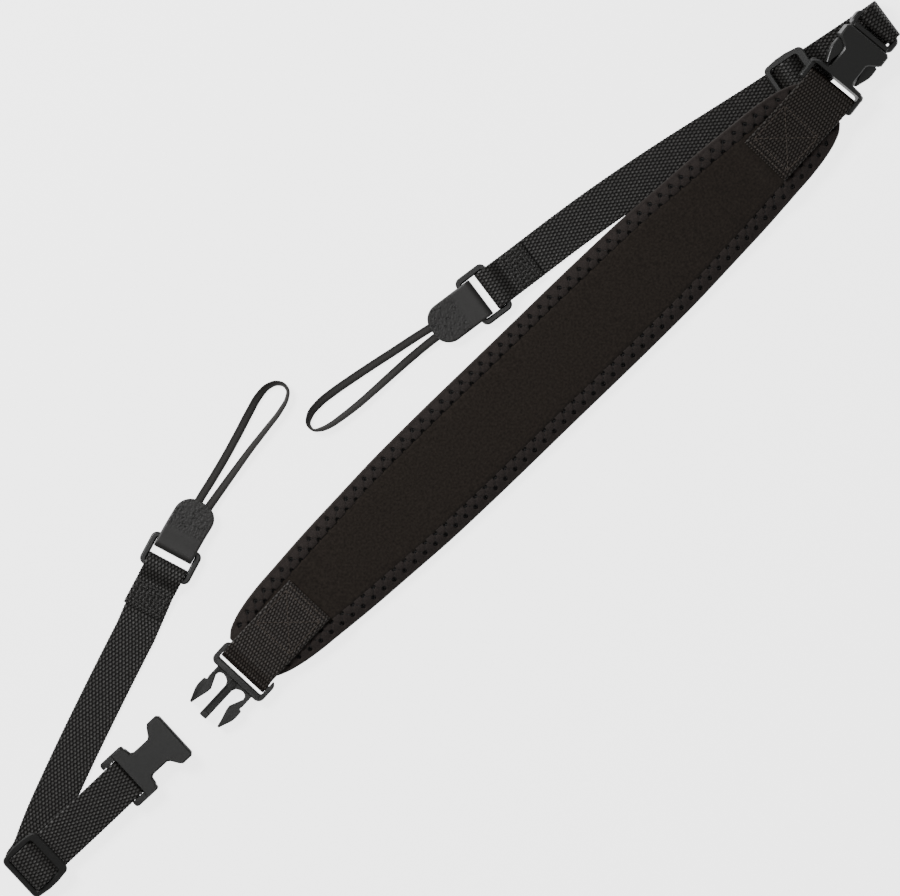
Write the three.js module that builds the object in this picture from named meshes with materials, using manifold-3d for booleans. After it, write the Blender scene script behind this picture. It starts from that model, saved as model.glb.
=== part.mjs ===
// Camera neck strap, lying flat: a padded neck band with a bound edge, two webbing tabs, two
// side-release buckles and two connector straps, each with a slider, a ring, a leather tab and a
// cord loop. One buckle is closed and its connector is folded back under it; the other is open.
// Millimetres, +Z up. The origin is on the floor under the middle of the pad, +X runs along the
// pad toward the closed buckle, and +Y is the side on which the connectors lie.
import * as THREE from 'three';
import { mergeVertices } from 'three/addons/utils/BufferGeometryUtils.js';
import Module from 'manifold-3d';

const wasm = await Module();
wasm.setup();

// Clearance between pieces that touch
const GAP = 0.3;

// Pad
const PAD_LENGTH = 369;
const PAD_WIDTH = 53.2;
const PAD_EDGE_HEIGHT = 3.6;
const PAD_CROWN = 1.8;
const PAD_END_CROWN = 0.3;
const BINDING_WIDTH = 8;
const BINDING_WALL = 1;

// Webbing and cord
const TAB_WIDTH = 25.4;
const TAB_THICKNESS = 1.4;
const TAB_LENGTH = 40;
const TAB_HIDDEN = 4;
const STRAP_WIDTH = 19;
const STRAP_THICKNESS = 1.2;
const SEWN_TAIL = 8.5;
const SEWN_FOLD = 28;
const CORD_WIDTH = 4;
const CORD_THICKNESS = 1.1;

// Buckles: the body is the same on both, and each frame fits the webbing that it holds
const BUCKLE_HEIGHT = 7.6;
const BUCKLE_FRAME_HEIGHT = 4.8;
const BUCKLE_BASE_HEIGHT = 5.8;
const BUCKLE_WALL = 1.4;
const HEAD_WIDTH = 24.6;
const HEAD_LENGTH = 7.3;
const HEAD_CORNER = 1.2;
const WAIST_WIDTH = 13.3;
const WAIST_LENGTH = 9.9;
const WAIST_FLANK = 3.5;
const PRONG_LENGTH = 20.7;
const PRONG_HEIGHT = 4.2;
const GUIDE_WIDTH = 3.8;
const GUIDE_LENGTH = 22;
const GROOVE_START = 3;
const GROOVE_DEPTH = 0.8;
const GROOVE_WIDTH = 0.8;
const NOTCH_LENGTH = 2.6;
const FRAME_ARM = 2;
const WIDE_ARM = 2.9;
const FRAME_PLAY = 0.6;
const WEBBING_BAR_HEIGHT = 2.5;
const WEBBING_BAR_LENGTH = 2.2;
const BAR_SLACK = 1.8;

// Sliders and rings
const SLIDER_LENGTH = 20.8;
const SLIDER_WIDTH = 25.5;
const SLIDER_THICKNESS = 2;
const SLIDER_NEAR_BAR = 3.6;
const SLIDER_FAR_BAR = 2.3;
const SLIDER_SIDE_BAR = 2.8;
const SLIDER_BOW = 0.8;
const SLIDER_DROP = 1.85;
const SLIDER_BAR_LENGTH = 2.4;
const SLIDER_BAR_HEIGHT = 1.8;
const RING_LENGTH = 16.4;
const RING_WIDTH = 25.6;
const RING_BAR = 2.1;
const RING_SIDE_BAR = 2.85;
const RING_OPENING = 3.1;

// Leather tabs
const LEATHER_WIDTH = 19.3;
const LEATHER_THICKNESS = 1.3;
const LEATHER_LENGTH = 28;
const LEATHER_CORNER = 8;

// The closed end lies over its own slider, so it is lifted and leans over
const LIFT = 6.1;
const LIFT_SLOPE = 0.2;
const TAB_RAMP = 8;

const DEG = Math.PI / 180;
const HALF_PAD = PAD_LENGTH / 2;
const LEFT_END = -HALF_PAD;
const RIGHT_END = HALF_PAD;
const LIFT_START = RIGHT_END * 0.27;
const LIFT_END = RIGHT_END - 12.5;

// Half-width of the pad: along and half are shares of the half-length and the half-width
const PAD_OUTLINE = [
  { along: 0, half: 1 },
  { along: 0.3, half: 0.998 },
  { along: 0.42, half: 0.984 },
  { along: 0.56, half: 0.936 },
  { along: 0.7, half: 0.88 },
  { along: 0.8, half: 0.82 },
  { along: 0.862, half: 0.782 },
  { along: 0.916, half: 0.722 },
  { along: 0.957, half: 0.645 },
  { along: 0.986, half: 0.548 },
  { along: 1, half: 0.46 },
];

// Rows along the pad, closer together toward its ends: shares of the half-length
const PAD_ROWS = [0, 0.1, 0.2, 0.3, 0.38, 0.46, 0.54, 0.6, 0.66, 0.7, 0.74, 0.78, 0.82, 0.86, 0.9, 0.943];
const END_ROWS = [0.35, 0.65, 0.85, 1];

// One side prong: along is a share of PRONG_LENGTH, inner and outer are shares of HEAD_WIDTH / 2
const PRONG = [
  { along: 0, inner: 0.65, outer: 0.86 },
  { along: 0.18, inner: 0.7, outer: 0.86 },
  { along: 0.29, inner: 0.62, outer: 0.86 },
  { along: 0.385, inner: 0.55, outer: 0.83 },
  { along: 0.415, inner: 0.53, outer: 0.945 },
  { along: 0.49, inner: 0.475, outer: 0.955 },
  { along: 0.6, inner: 0.5, outer: 0.955 },
  { along: 0.7, inner: 0.55, outer: 0.93 },
  { along: 0.855, inner: 0.62, outer: 0.835 },
  { along: 1, inner: 0.665, outer: 0.735 },
];

// The web between the guide and the prongs: along in millimetres, half as a share of HEAD_WIDTH / 2
const PRONG_WEB = [
  { along: 4.2, half: 0.15 },
  { along: 2.2, half: 0.23 },
  { along: 1.2, half: 0.38 },
  { along: 0.9, half: 0.5 },
  { along: 1.4, half: 0.62 },
  { along: 2.4, half: 0.7 },
];

// Where the free pieces lie: x, y in millimetres, yaw in degrees of the line along the piece; the
// pieces at each end of the pad keep their place from that end
const LIE = {
  tabLeft: { x: LEFT_END + 39.6, y: -0.35, yaw: 3.0 },
  tabRight: { x: RIGHT_END - 38.1, y: -0.9, yaw: 3.3 },
  maleLeft: { x: LEFT_END - 12, y: -3.6, z: 3.0, yaw: 183.2, pitch: 0, roll: 0 },
  femaleLeft: { x: LEFT_END - 48.6, y: -2.0, z: 4.1, yaw: 178.6, pitch: 0, roll: 0 },
  closedRight: { x: RIGHT_END + 35.9, y: 6.7, z: 8.8, yaw: 188, pitch: -2, roll: -11.3 },
  sliderLeft: { x: LEFT_END - 137.3, y: -0.5, yaw: -1 },
  sliderRight: { x: RIGHT_END - 0.5, y: 16.5, yaw: -10 },
  ringLeft: { x: LEFT_END + 6.2, y: 58.2, yaw: 18 },
  ringRight: { x: 10.9, y: 45.2, yaw: -7 },
};

// Routes of the long runs on the floor, from slider to ring, chosen by hand
const RUN_LEFT = [
  { x: LEFT_END - 133.5, y: 5.2, yaw: 24.5 },
  { x: LEFT_END - 120.5, y: 11.2, yaw: 23 },
  { x: LEFT_END - 98.5, y: 20.0, yaw: 21 },
  { x: LEFT_END - 59.7, y: 34.3, yaw: 20 },
  { x: LEFT_END - 28.5, y: 45.2, yaw: 19 },
];
const RUN_RIGHT = [
  { x: RIGHT_END - 19.4, y: 20.0, yaw: -11 },
  { x: RIGHT_END * 0.769, y: 24.8, yaw: -12 },
  { x: RIGHT_END * 0.644, y: 29.6, yaw: -11 },
  { x: RIGHT_END * 0.518, y: 33.9, yaw: -10 },
  { x: RIGHT_END * 0.39, y: 37.7, yaw: -8.5 },
  { x: RIGHT_END * 0.287, y: 40.2, yaw: -7 },
];

// Routes of the cords, from the leather to the tip and back, chosen by hand: x, y, z and the angle
// at which the flat cord leans toward its edge; x of the left one is from the pad's left end
const CORD_LEFT = [
  [26.3, 65.6, 2.15, 0], [34.0, 68.1, 2.1, 0], [45.2, 71.0, 0.95, 0], [56.8, 74.2, 0.65, 0],
  [68.4, 77.8, 0.74, 4], [79.9, 81.6, 1.1, 14], [87.7, 83.8, 1.5, 28], [93.5, 84.1, 1.86, 44],
  [97.7, 82.4, 2.06, 58], [99.6, 79.6, 2.12, 68], [99.2, 76.4, 2.12, 72], [96.2, 73.9, 2.12, 66],
  [90.7, 72.1, 2.06, 58], [79.9, 70.4, 1.95, 50], [68.4, 68.8, 1.82, 42], [56.8, 66.8, 1.6, 32],
  [45.2, 64.7, 1.25, 15], [34.8, 62.7, 2.1, 0], [27.1, 60.9, 2.15, 0],
].map(([x, y, z, lean]) => [LEFT_END + x, y, z, lean]);
const CORD_RIGHT = [
  [-9.6, 49.6, 2.15, 0], [-17.4, 51.2, 2.1, 0], [-25.8, 53.0, 0.95, 0], [-37.4, 55.2, 0.65, 0],
  [-49.0, 57.5, 0.65, 0], [-60.6, 59.6, 0.65, 0], [-69.8, 61.1, 0.78, -5],
  [-79.1, 61.9, 1.28, -20], [-85.7, 61.0, 1.74, -38], [-89.4, 58.3, 2.12, -66],
  [-89.6, 55.0, 2.12, -84], [-86.6, 52.6, 2.1, -62], [-82.2, 51.0, 1.95, -50],
  [-76.0, 50.0, 1.82, -42], [-66.7, 49.0, 1.65, -34], [-56.7, 48.5, 1.5, -28],
  [-45.1, 48.1, 1.15, -14], [-33.6, 47.6, 0.95, 0], [-18.1, 46.2, 2.1, 0], [-10.4, 45.0, 2.15, 0],
];

// Materials
const suede = new THREE.MeshStandardMaterial({ color: 0x2a2321, roughness: 0.95, metalness: 0 });
const binding = new THREE.MeshStandardMaterial({ color: 0x26201f, roughness: 0.9, metalness: 0 });
const webbing = new THREE.MeshStandardMaterial({ color: 0x191817, roughness: 0.85, metalness: 0 });
const plastic = new THREE.MeshStandardMaterial({ color: 0x232323, roughness: 0.45, metalness: 0 });
const leather = new THREE.MeshStandardMaterial({ color: 0x1c1b1b, roughness: 0.6, metalness: 0 });
const cord = new THREE.MeshStandardMaterial({ color: 0x151414, roughness: 0.8, metalness: 0 });

const assembly = new THREE.Group();

function add(name, geometry, material) {
  const mesh = new THREE.Mesh(geometry, material);
  mesh.name = name;
  assembly.add(mesh);
  return mesh;
}

// Small maths

function mix(a, b, share) {
  return a + (b - a) * share;
}

function smooth(share) {
  const t = Math.min(Math.max(share, 0), 1);
  return t * t * (3 - 2 * t);
}

function direction(yaw) {
  return new THREE.Vector3(Math.cos(yaw * DEG), Math.sin(yaw * DEG), 0);
}

// The direction across a strap whose line has this yaw and whose +Y edge leans up by roll
function across(yaw, roll = 0) {
  return new THREE.Vector3(
    -Math.sin(yaw * DEG) * Math.cos(roll * DEG),
    Math.cos(yaw * DEG) * Math.cos(roll * DEG),
    Math.sin(roll * DEG),
  );
}

function shifted(place, along, z) {
  const d = direction(place.yaw);
  return { x: place.x + d.x * along, y: place.y + d.y * along, z, yaw: place.yaw };
}

function placement({ x, y, z, yaw, pitch, roll }) {
  const turned = new THREE.Euler(roll * DEG, pitch * DEG, yaw * DEG, 'ZYX');
  const facing = new THREE.Quaternion().setFromEuler(turned);
  return new THREE.Matrix4().compose(new THREE.Vector3(x, y, z), facing, new THREE.Vector3(1, 1, 1));
}

// Shapes and solids

function bare(geometry) {
  geometry.deleteAttribute('normal');
  geometry.deleteAttribute('uv');
  return mergeVertices(geometry, 1e-4);
}

function solid(geometry) {
  const merged = bare(geometry);
  return new wasm.Manifold(new wasm.Mesh({
    numProp: 3,
    vertProperties: new Float32Array(merged.getAttribute('position').array),
    triVerts: new Uint32Array(merged.getIndex().array),
  }));
}

function geometryOf(manifold) {
  const mesh = manifold.getMesh();
  const geometry = new THREE.BufferGeometry();
  geometry.setAttribute('position', new THREE.BufferAttribute(mesh.vertProperties, 3));
  geometry.setIndex(new THREE.BufferAttribute(mesh.triVerts, 1));
  geometry.computeVertexNormals();
  return geometry;
}

function box(x0, x1, halfWidth, z0, z1) {
  const geometry = new THREE.BoxGeometry(x1 - x0, 2 * halfWidth, z1 - z0);
  geometry.translate((x0 + x1) / 2, 0, (z0 + z1) / 2);
  return solid(geometry);
}

// A plate of this outline, centred on height z, with rounded-over edges
function plate(shape, height, round, z = 0) {
  const geometry = new THREE.ExtrudeGeometry(shape, {
    depth: height - 2 * round,
    bevelEnabled: round > 0,
    bevelThickness: round,
    bevelSize: round,
    bevelOffset: -round,
    bevelSegments: 1,
    curveSegments: 3,
  });
  geometry.translate(0, 0, z - height / 2 + round);
  return solid(geometry);
}

function roundedRectangle(x0, x1, halfWidth, radius, Kind = THREE.Shape) {
  const shape = new Kind();
  shape.moveTo(x0 + radius, -halfWidth);
  shape.lineTo(x1 - radius, -halfWidth);
  shape.absarc(x1 - radius, -halfWidth + radius, radius, -Math.PI / 2, 0);
  shape.lineTo(x1, halfWidth - radius);
  shape.absarc(x1 - radius, halfWidth - radius, radius, 0, Math.PI / 2);
  shape.lineTo(x0 + radius, halfWidth);
  shape.absarc(x0 + radius, halfWidth - radius, radius, Math.PI / 2, Math.PI);
  shape.lineTo(x0, -halfWidth + radius);
  shape.absarc(x0 + radius, -halfWidth + radius, radius, Math.PI, Math.PI * 1.5);
  return shape;
}

// A symmetric outline from rows of { x, half }
function mirroredShape(rows) {
  const shape = new THREE.Shape();
  shape.moveTo(rows[0].x, -rows[0].half);
  for (const row of rows.slice(1)) shape.lineTo(row.x, -row.half);
  for (const row of [...rows].reverse()) shape.lineTo(row.x, row.half);
  shape.closePath();
  return shape;
}

// Straps: a flat box bent along stations of { x, y, z, yaw, roll, half }

function bentStrap(stations, width, thickness) {
  const last = stations.length - 1;
  const geometry = new THREE.BoxGeometry(1, 1, 1, last, 1, 1);
  const position = geometry.getAttribute('position');
  const centres = stations.map((s) => new THREE.Vector3(s.x, s.y, s.z));
  for (let i = 0; i < position.count; i += 1) {
    const k = Math.round((position.getX(i) + 0.5) * last);
    const before = centres[Math.max(k - 1, 0)];
    const after = centres[Math.min(k + 1, last)];
    const side = across(stations[k].yaw, stations[k].roll);
    const normal = after.clone().sub(before).cross(side).normalize();
    const half = stations[k].half ?? width / 2;
    const point = centres[k].clone()
      .addScaledVector(side, position.getY(i) * 2 * half)
      .addScaledVector(normal, position.getZ(i) * thickness);
    position.setXYZ(i, point.x, point.y, point.z);
  }
  return bare(geometry);
}

// Stations on an arc in the upright plane along the strap, with the yaw and roll running to `to`
function turn(centre, radius, fromAngle, toAngle, to = {}, steps = 10) {
  const stations = [];
  for (let i = 0; i <= steps; i += 1) {
    const share = i / steps;
    const angle = mix(fromAngle, toAngle, share) * DEG;
    const yaw = mix(centre.yaw, to.yaw ?? centre.yaw, share);
    const roll = mix(centre.roll ?? 0, to.roll ?? centre.roll ?? 0, share);
    const dir = direction(yaw);
    const up = dir.clone().cross(across(yaw, roll));
    const point = new THREE.Vector3(centre.x, mix(centre.y, to.y ?? centre.y, share), centre.z)
      .addScaledVector(dir, radius * Math.cos(angle))
      .addScaledVector(up, radius * Math.sin(angle));
    stations.push({ x: point.x, y: point.y, z: point.z, yaw, roll });
  }
  return stations;
}

// Pad

function padHalfWidth(x) {
  const share = Math.min(Math.abs(x) / HALF_PAD, 1);
  const next = Math.max(PAD_OUTLINE.findIndex((row) => row.along >= share), 1);
  const a = PAD_OUTLINE[next - 1];
  const b = PAD_OUTLINE[next];
  return mix(a.half, b.half, (share - a.along) / (b.along - a.along)) * PAD_WIDTH / 2;
}

function padTop(x, y) {
  const away = Math.min(Math.abs(y) / padHalfWidth(x), 1);
  const crown = mix(PAD_CROWN, PAD_END_CROWN, smooth((Math.abs(x) / HALF_PAD - 0.6) / 0.4));
  return PAD_EDGE_HEIGHT + crown * (1 - away ** 4);
}

// Height of the pad's underside: each end lies on its tab's lower layer, and the closed end is lifted
function lift(x, y) {
  const lean = LIFT + LIFT_SLOPE * (y - STRAP_WIDTH / 5);
  const onTab = smooth((Math.abs(x) - HALF_PAD + TAB_LENGTH + TAB_RAMP) / TAB_RAMP);
  const raised = smooth((x - LIFT_START) / (LIFT_END - LIFT_START)) * Math.max(lean, 0);
  return raised + onTab * (TAB_THICKNESS + GAP);
}

// Places of the rows along a pad whose edge lies this far in, from end to end
function padRows(inset) {
  const last = PAD_ROWS.at(-1) * HALF_PAD;
  const half = [
    ...PAD_ROWS.map((share) => share * HALF_PAD),
    ...END_ROWS.map((share) => mix(last, HALF_PAD - inset, share)),
  ];
  return [...half.slice(1).reverse().map((x) => -x), ...half];
}

// The core: a grid of rows along the pad and columns across it, thinner where the binding goes
function padCore() {
  const inset = BINDING_WALL + GAP;
  const step = BINDING_WIDTH + GAP * 2;
  const edges = [inset, step - GAP, step];
  const middle = 6;
  const columns = middle + 4;
  const reach = PAD_ROWS.at(-1) * HALF_PAD;
  const outside = (x) => Math.abs(x) > HALF_PAD - step + GAP / 2;
  const xs = padRows(inset).filter((x) => Math.abs(x) <= reach || outside(x));
  const first = xs.findIndex((x) => !outside(x));
  xs.splice(first, 0, step - GAP - HALF_PAD, step - HALF_PAD);
  xs.splice(xs.length - first, 0, HALF_PAD - step, HALF_PAD - step + GAP);
  const last = xs.length - 1;
  const geometry = new THREE.BoxGeometry(1, 1, 1, last, columns, 1);
  const position = geometry.getAttribute('position');
  for (let i = 0; i < position.count; i += 1) {
    const x = xs[Math.round((position.getX(i) + 0.5) * last)];
    const column = Math.round((position.getY(i) + 0.5) * columns);
    const edge = Math.min(column, columns - column);
    const half = padHalfWidth(x);
    const side = column < columns / 2 ? -1 : 1;
    const share = (2 * (column - 2)) / middle - 1;
    const y = edge < 2 ? side * (half - edges[edge]) : share * (half - step);
    const rim = edge < 2 || outside(x);
    const top = padTop(x, y) - (rim ? inset + GAP / 3 : 0);
    const under = rim ? inset + GAP / 3 : 0;
    position.setXYZ(i, x, y, (position.getZ(i) > 0 ? top : under) + lift(x, y));
  }
  return bare(geometry);
}

// Points of the pad's outline at this distance in from the edge, all the way round
function padRing(inset) {
  const xs = padRows(inset);
  const long = HALF_PAD - inset;
  const endSteps = 4;
  const end = padHalfWidth(long) - inset;
  const points = xs.slice(0, -1).map((x) => [x, -(padHalfWidth(x) - inset)]);
  for (let i = 0; i < endSteps; i += 1) points.push([long, mix(-end, end, i / endSteps)]);
  return [...points, ...points.map(([x, y]) => [-x, -y])];
}

// The binding: a C-shaped section carried round the pad's edge
function padBinding() {
  const outer = padRing(0);
  const wall = padRing(BINDING_WALL);
  const lip = padRing(BINDING_WIDTH);
  const height = ([x, y]) => padTop(x, y);
  const section = [
    { line: outer, z: () => 0 },
    { line: lip, z: () => 0 },
    { line: lip, z: () => BINDING_WALL },
    { line: wall, z: () => BINDING_WALL },
    { line: wall, z: (p) => height(p) - BINDING_WALL },
    { line: lip, z: (p) => height(p) - BINDING_WALL },
    { line: lip, z: height },
    { line: outer, z: height },
  ];
  const positions = [];
  const index = [];
  const sides = section.length;
  outer.forEach((_, k) => {
    for (const { line, z } of section) {
      const [x, y] = line[k];
      positions.push(x, y, z(line[k]) + lift(x, y));
    }
    const next = (k + 1) % outer.length;
    for (let s = 0; s < sides; s += 1) {
      const t = (s + 1) % sides;
      const [a, b, c, d] = [k * sides + s, next * sides + s, next * sides + t, k * sides + t];
      index.push(a, c, b, a, d, c);
    }
  });
  const geometry = new THREE.BufferGeometry();
  geometry.setAttribute('position', new THREE.Float32BufferAttribute(positions, 3));
  geometry.setIndex(index);
  return geometry;
}

// Buckles: both halves share one frame, with the base line at x = 0 and the prongs along +x

const PRONG_SHARES = HEAD_WIDTH / 2;
const HEAD_FLANK_END = HEAD_LENGTH + WAIST_FLANK;
const WAIST_END = HEAD_FLANK_END + WAIST_LENGTH;
const BODY_END = GUIDE_LENGTH + BUCKLE_WALL;

// The frame that holds webbing of this width: an outline, a slot and a bar
function frameSizes(webbingWidth, arm = FRAME_ARM) {
  const inner = webbingWidth / 2 + FRAME_PLAY;
  return { half: inner + arm, inner };
}

function webbingBar(x, inner) {
  const reach = WEBBING_BAR_LENGTH / 2;
  return plate(roundedRectangle(x - reach, x + reach, inner + FRAME_ARM / 2, 0.8), WEBBING_BAR_HEIGHT, 0.5);
}

function prong() {
  const rows = PRONG.map((row) => [row.along * PRONG_LENGTH, row.inner * PRONG_SHARES, row.outer * PRONG_SHARES]);
  const shape = new THREE.Shape();
  shape.moveTo(rows[0][0] - 1, rows[0][1]);
  for (const [x, inner] of rows) shape.lineTo(x, inner);
  for (const [x, , outer] of [...rows].reverse()) shape.lineTo(x, outer);
  shape.lineTo(rows[0][0] - 1, rows[0][2]);
  shape.closePath();
  return plate(shape, PRONG_HEIGHT, 0.3);
}

function prongWeb() {
  const rows = PRONG_WEB.map((row) => [row.along, row.half * PRONG_SHARES]);
  const shape = new THREE.Shape();
  shape.moveTo(-1, 0);
  shape.lineTo(rows[0][0], 0);
  for (const [x, y] of rows) shape.lineTo(x, y);
  shape.lineTo(-1, rows.at(-1)[1]);
  shape.closePath();
  return plate(shape, PRONG_HEIGHT - 0.2, 0);
}

// The guide between the prongs: a bar with a groove along it and a notch across it near its tip
function guideBar() {
  const top = PRONG_HEIGHT / 2;
  const bar = plate(roundedRectangle(-1, GUIDE_LENGTH, GUIDE_WIDTH / 2, 0.6), PRONG_HEIGHT, 0.3);
  const floor = top - GROOVE_DEPTH;
  const end = GUIDE_LENGTH - NOTCH_LENGTH;
  const groove = box(GROOVE_START, end, GROOVE_WIDTH / 2, floor, top + 1).translate([0, -GUIDE_WIDTH / 4, 0]);
  return bar.subtract(groove).subtract(box(end - 0.5, end + 0.1, GUIDE_WIDTH / 2 - 0.5, floor, top + 1));
}

function maleBuckle({ half, inner }, { bar, base, back }) {
  const slot = plate(roundedRectangle(-back - 5, -base, inner, 1.2), BUCKLE_HEIGHT * 2, 0);
  const frame = plate(roundedRectangle(-back, 0, half, 3), BUCKLE_FRAME_HEIGHT, 0.6).subtract(slot);
  const shoulder = plate(roundedRectangle(-base, 0, half - 2, 0.8), BUCKLE_BASE_HEIGHT, 0.5);
  const side = prong().add(prongWeb());
  return frame
    .add(shoulder)
    .add(webbingBar(bar, inner))
    .add(guideBar())
    .add(side)
    .add(side.mirror([0, 1, 0]));
}

function femaleBuckle({ half, inner }, { bar, slotEdge, back }) {
  const waist = WAIST_WIDTH / 2;
  const body = plate(mirroredShape([
    { x: GAP, half: HEAD_WIDTH / 2 - HEAD_CORNER },
    { x: GAP + HEAD_CORNER, half: HEAD_WIDTH / 2 },
    { x: HEAD_LENGTH - HEAD_CORNER * 0.8, half: HEAD_WIDTH / 2 },
    { x: HEAD_LENGTH + 0.3, half: HEAD_WIDTH / 2 - HEAD_CORNER },
    { x: HEAD_LENGTH + WAIST_FLANK * 0.75, half: waist + 0.9 },
    { x: HEAD_FLANK_END + 0.4, half: waist },
    { x: WAIST_END - 0.4, half: waist },
    { x: WAIST_END + WAIST_FLANK * 0.3, half: waist + 0.9 },
    { x: BODY_END - 1.2, half: half - 2.6 },
    { x: BODY_END, half: half - 0.8 },
    { x: slotEdge + 0.6, half },
  ]), BUCKLE_HEIGHT, 0.6);
  const slot = plate(roundedRectangle(slotEdge, back + 5, inner, 1.2), BUCKLE_HEIGHT * 2, 0);
  const frame = plate(roundedRectangle(BODY_END - 1, back, half, 1.5), BUCKLE_FRAME_HEIGHT, 0.6);
  const room = PRONG_HEIGHT / 2 + GAP;
  const lane = HEAD_WIDTH / 2 - BUCKLE_WALL;
  const pocket = GUIDE_LENGTH + GAP * 2;
  const rail = GUIDE_WIDTH / 2 + GAP * 2;
  const railWidth = 2.4;
  const rails = box(HEAD_FLANK_END - 1, pocket + 1, rail + railWidth, -room - 1, room + 1)
    .subtract(box(HEAD_FLANK_END - 2, pocket + 2, rail, -room - 2, room + 2));
  const hollow = box(-1, HEAD_LENGTH + WAIST_FLANK * 0.6, lane, -room, room)
    .add(box(HEAD_LENGTH + WAIST_FLANK * 0.5, pocket, half + 5, -room, room))
    .subtract(rails);
  return body.add(frame).subtract(slot).subtract(hollow).add(webbingBar(bar, inner));
}

// Sliders, rings and leather

// A rectangle whose long sides bow out
function bowedRectangle(x0, x1, halfWidth, radius, bow) {
  const low = halfWidth - bow;
  const middle = (x0 + x1) / 2;
  const shape = new THREE.Shape();
  shape.moveTo(x0 + radius, -low);
  shape.quadraticCurveTo(middle, -halfWidth - bow, x1 - radius, -low);
  shape.absarc(x1 - radius, -low + radius, radius, -Math.PI / 2, 0);
  shape.lineTo(x1, low - radius);
  shape.absarc(x1 - radius, low - radius, radius, 0, Math.PI / 2);
  shape.quadraticCurveTo(middle, halfWidth + bow, x0 + radius, low);
  shape.absarc(x0 + radius, low - radius, radius, Math.PI / 2, Math.PI);
  shape.lineTo(x0, -low + radius);
  shape.absarc(x0 + radius, -low + radius, radius, Math.PI, Math.PI * 1.5);
  return shape;
}

function slider() {
  const half = SLIDER_WIDTH / 2;
  const inner = half - SLIDER_SIDE_BAR;
  const reach = SLIDER_LENGTH / 2;
  const outline = bowedRectangle(-reach, reach, half, 2.6, SLIDER_BOW);
  outline.holes.push(
    roundedRectangle(-reach + SLIDER_FAR_BAR, reach - SLIDER_NEAR_BAR, inner, 1.5, THREE.Path),
  );
  const frame = plate(outline, SLIDER_THICKNESS, 0.4);
  const low = -SLIDER_DROP - SLIDER_BAR_HEIGHT / 2;
  const bar = box(-SLIDER_BAR_LENGTH / 2, SLIDER_BAR_LENGTH / 2, half - 0.4, low, low + SLIDER_BAR_HEIGHT);
  const lugs = box(-SLIDER_BAR_LENGTH / 2, SLIDER_BAR_LENGTH / 2, half - 0.4, low, 0)
    .subtract(box(-reach, reach, inner + 0.2, low - 1, 1));
  return frame.add(bar).add(lugs);
}

function ring() {
  const outline = roundedRectangle(-RING_LENGTH / 2, RING_LENGTH / 2, RING_WIDTH / 2, 3);
  outline.holes.push(roundedRectangle(
    -RING_LENGTH / 2 + RING_BAR,
    RING_LENGTH / 2 - RING_BAR,
    RING_WIDTH / 2 - RING_SIDE_BAR,
    1,
    THREE.Path,
  ));
  return plate(outline, RING_BAR, 0.6);
}

// Heights of the layers
const RING_Z = RING_BAR / 2 + GAP + LEATHER_THICKNESS;
const FLOOR_RUN = STRAP_THICKNESS / 2;
const LAYER = STRAP_THICKNESS + GAP;
const INNER_WRAP = SLIDER_BAR_HEIGHT / 2 + GAP + STRAP_THICKNESS / 2;
const OUTER_WRAP = INNER_WRAP + LAYER;
const BUCKLE_WRAP = WEBBING_BAR_HEIGHT / 2 + GAP + STRAP_THICKNESS / 2;
const TAB_WRAP = WEBBING_BAR_HEIGHT / 2 + GAP + TAB_THICKNESS / 2;

// A slider's tilt, so that its near bar clears the three layers that leave under it
const NEAR_BAR_MIDDLE = (SLIDER_LENGTH - SLIDER_NEAR_BAR) / 2;
const NEAR_BAR_RISE = LAYER * 2 + STRAP_THICKNESS / 2 + GAP + SLIDER_THICKNESS / 2 - INNER_WRAP - SLIDER_DROP;
const SLIDER_TILT = Math.asin(NEAR_BAR_RISE / NEAR_BAR_MIDDLE) / DEG;

function sliderMesh(name, place, barHeight) {
  const mesh = add(name, geometryOf(slider()), plastic);
  mesh.position.set(place.x, place.y, barHeight + SLIDER_DROP);
  mesh.rotation.set(0, -SLIDER_TILT * DEG, place.yaw * DEG, 'ZYX');
  return mesh;
}

// The sewn end of a connector: round the slider's bar, with its tail under the layer that leaves
function sewnLoop(place, barHeight) {
  const low = barHeight - INNER_WRAP;
  const top = barHeight + INNER_WRAP;
  const half = SLIDER_BAR_LENGTH / 2;
  return [
    shifted(place, SEWN_TAIL, low),
    ...turn(shifted(place, -half * 0.8, barHeight), INNER_WRAP, -90, -270),
    shifted(place, half, top),
    shifted(place, half * 2.9, (top + low + LAYER) / 2 + 0.25),
    shifted(place, half * 4.8, low + LAYER),
    shifted(place, SEWN_TAIL, low + LAYER),
  ];
}

// The layer that comes back from the buckle and goes over the slider's bar
function overSlider(place, barHeight) {
  const low = barHeight - INNER_WRAP + LAYER * 2;
  const top = barHeight + OUTER_WRAP;
  const half = SLIDER_BAR_LENGTH / 2;
  return [
    shifted(place, SEWN_TAIL + 3, low),
    shifted(place, half * 5.4, low),
    shifted(place, half * 3.5, (top + low) / 2 + 0.2),
    shifted(place, half * 1.6, top),
  ];
}

// Stations along a route of { x, y, yaw } on the floor, evenly between its points
function floorRun(route, steps) {
  const curve = new THREE.CatmullRomCurve3(route.map((p) => new THREE.Vector3(p.x, p.y, p.yaw)));
  return curve.getPoints(steps).map((p) => ({ x: p.x, y: p.y, z: FLOOR_RUN, yaw: p.z }));
}

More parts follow.
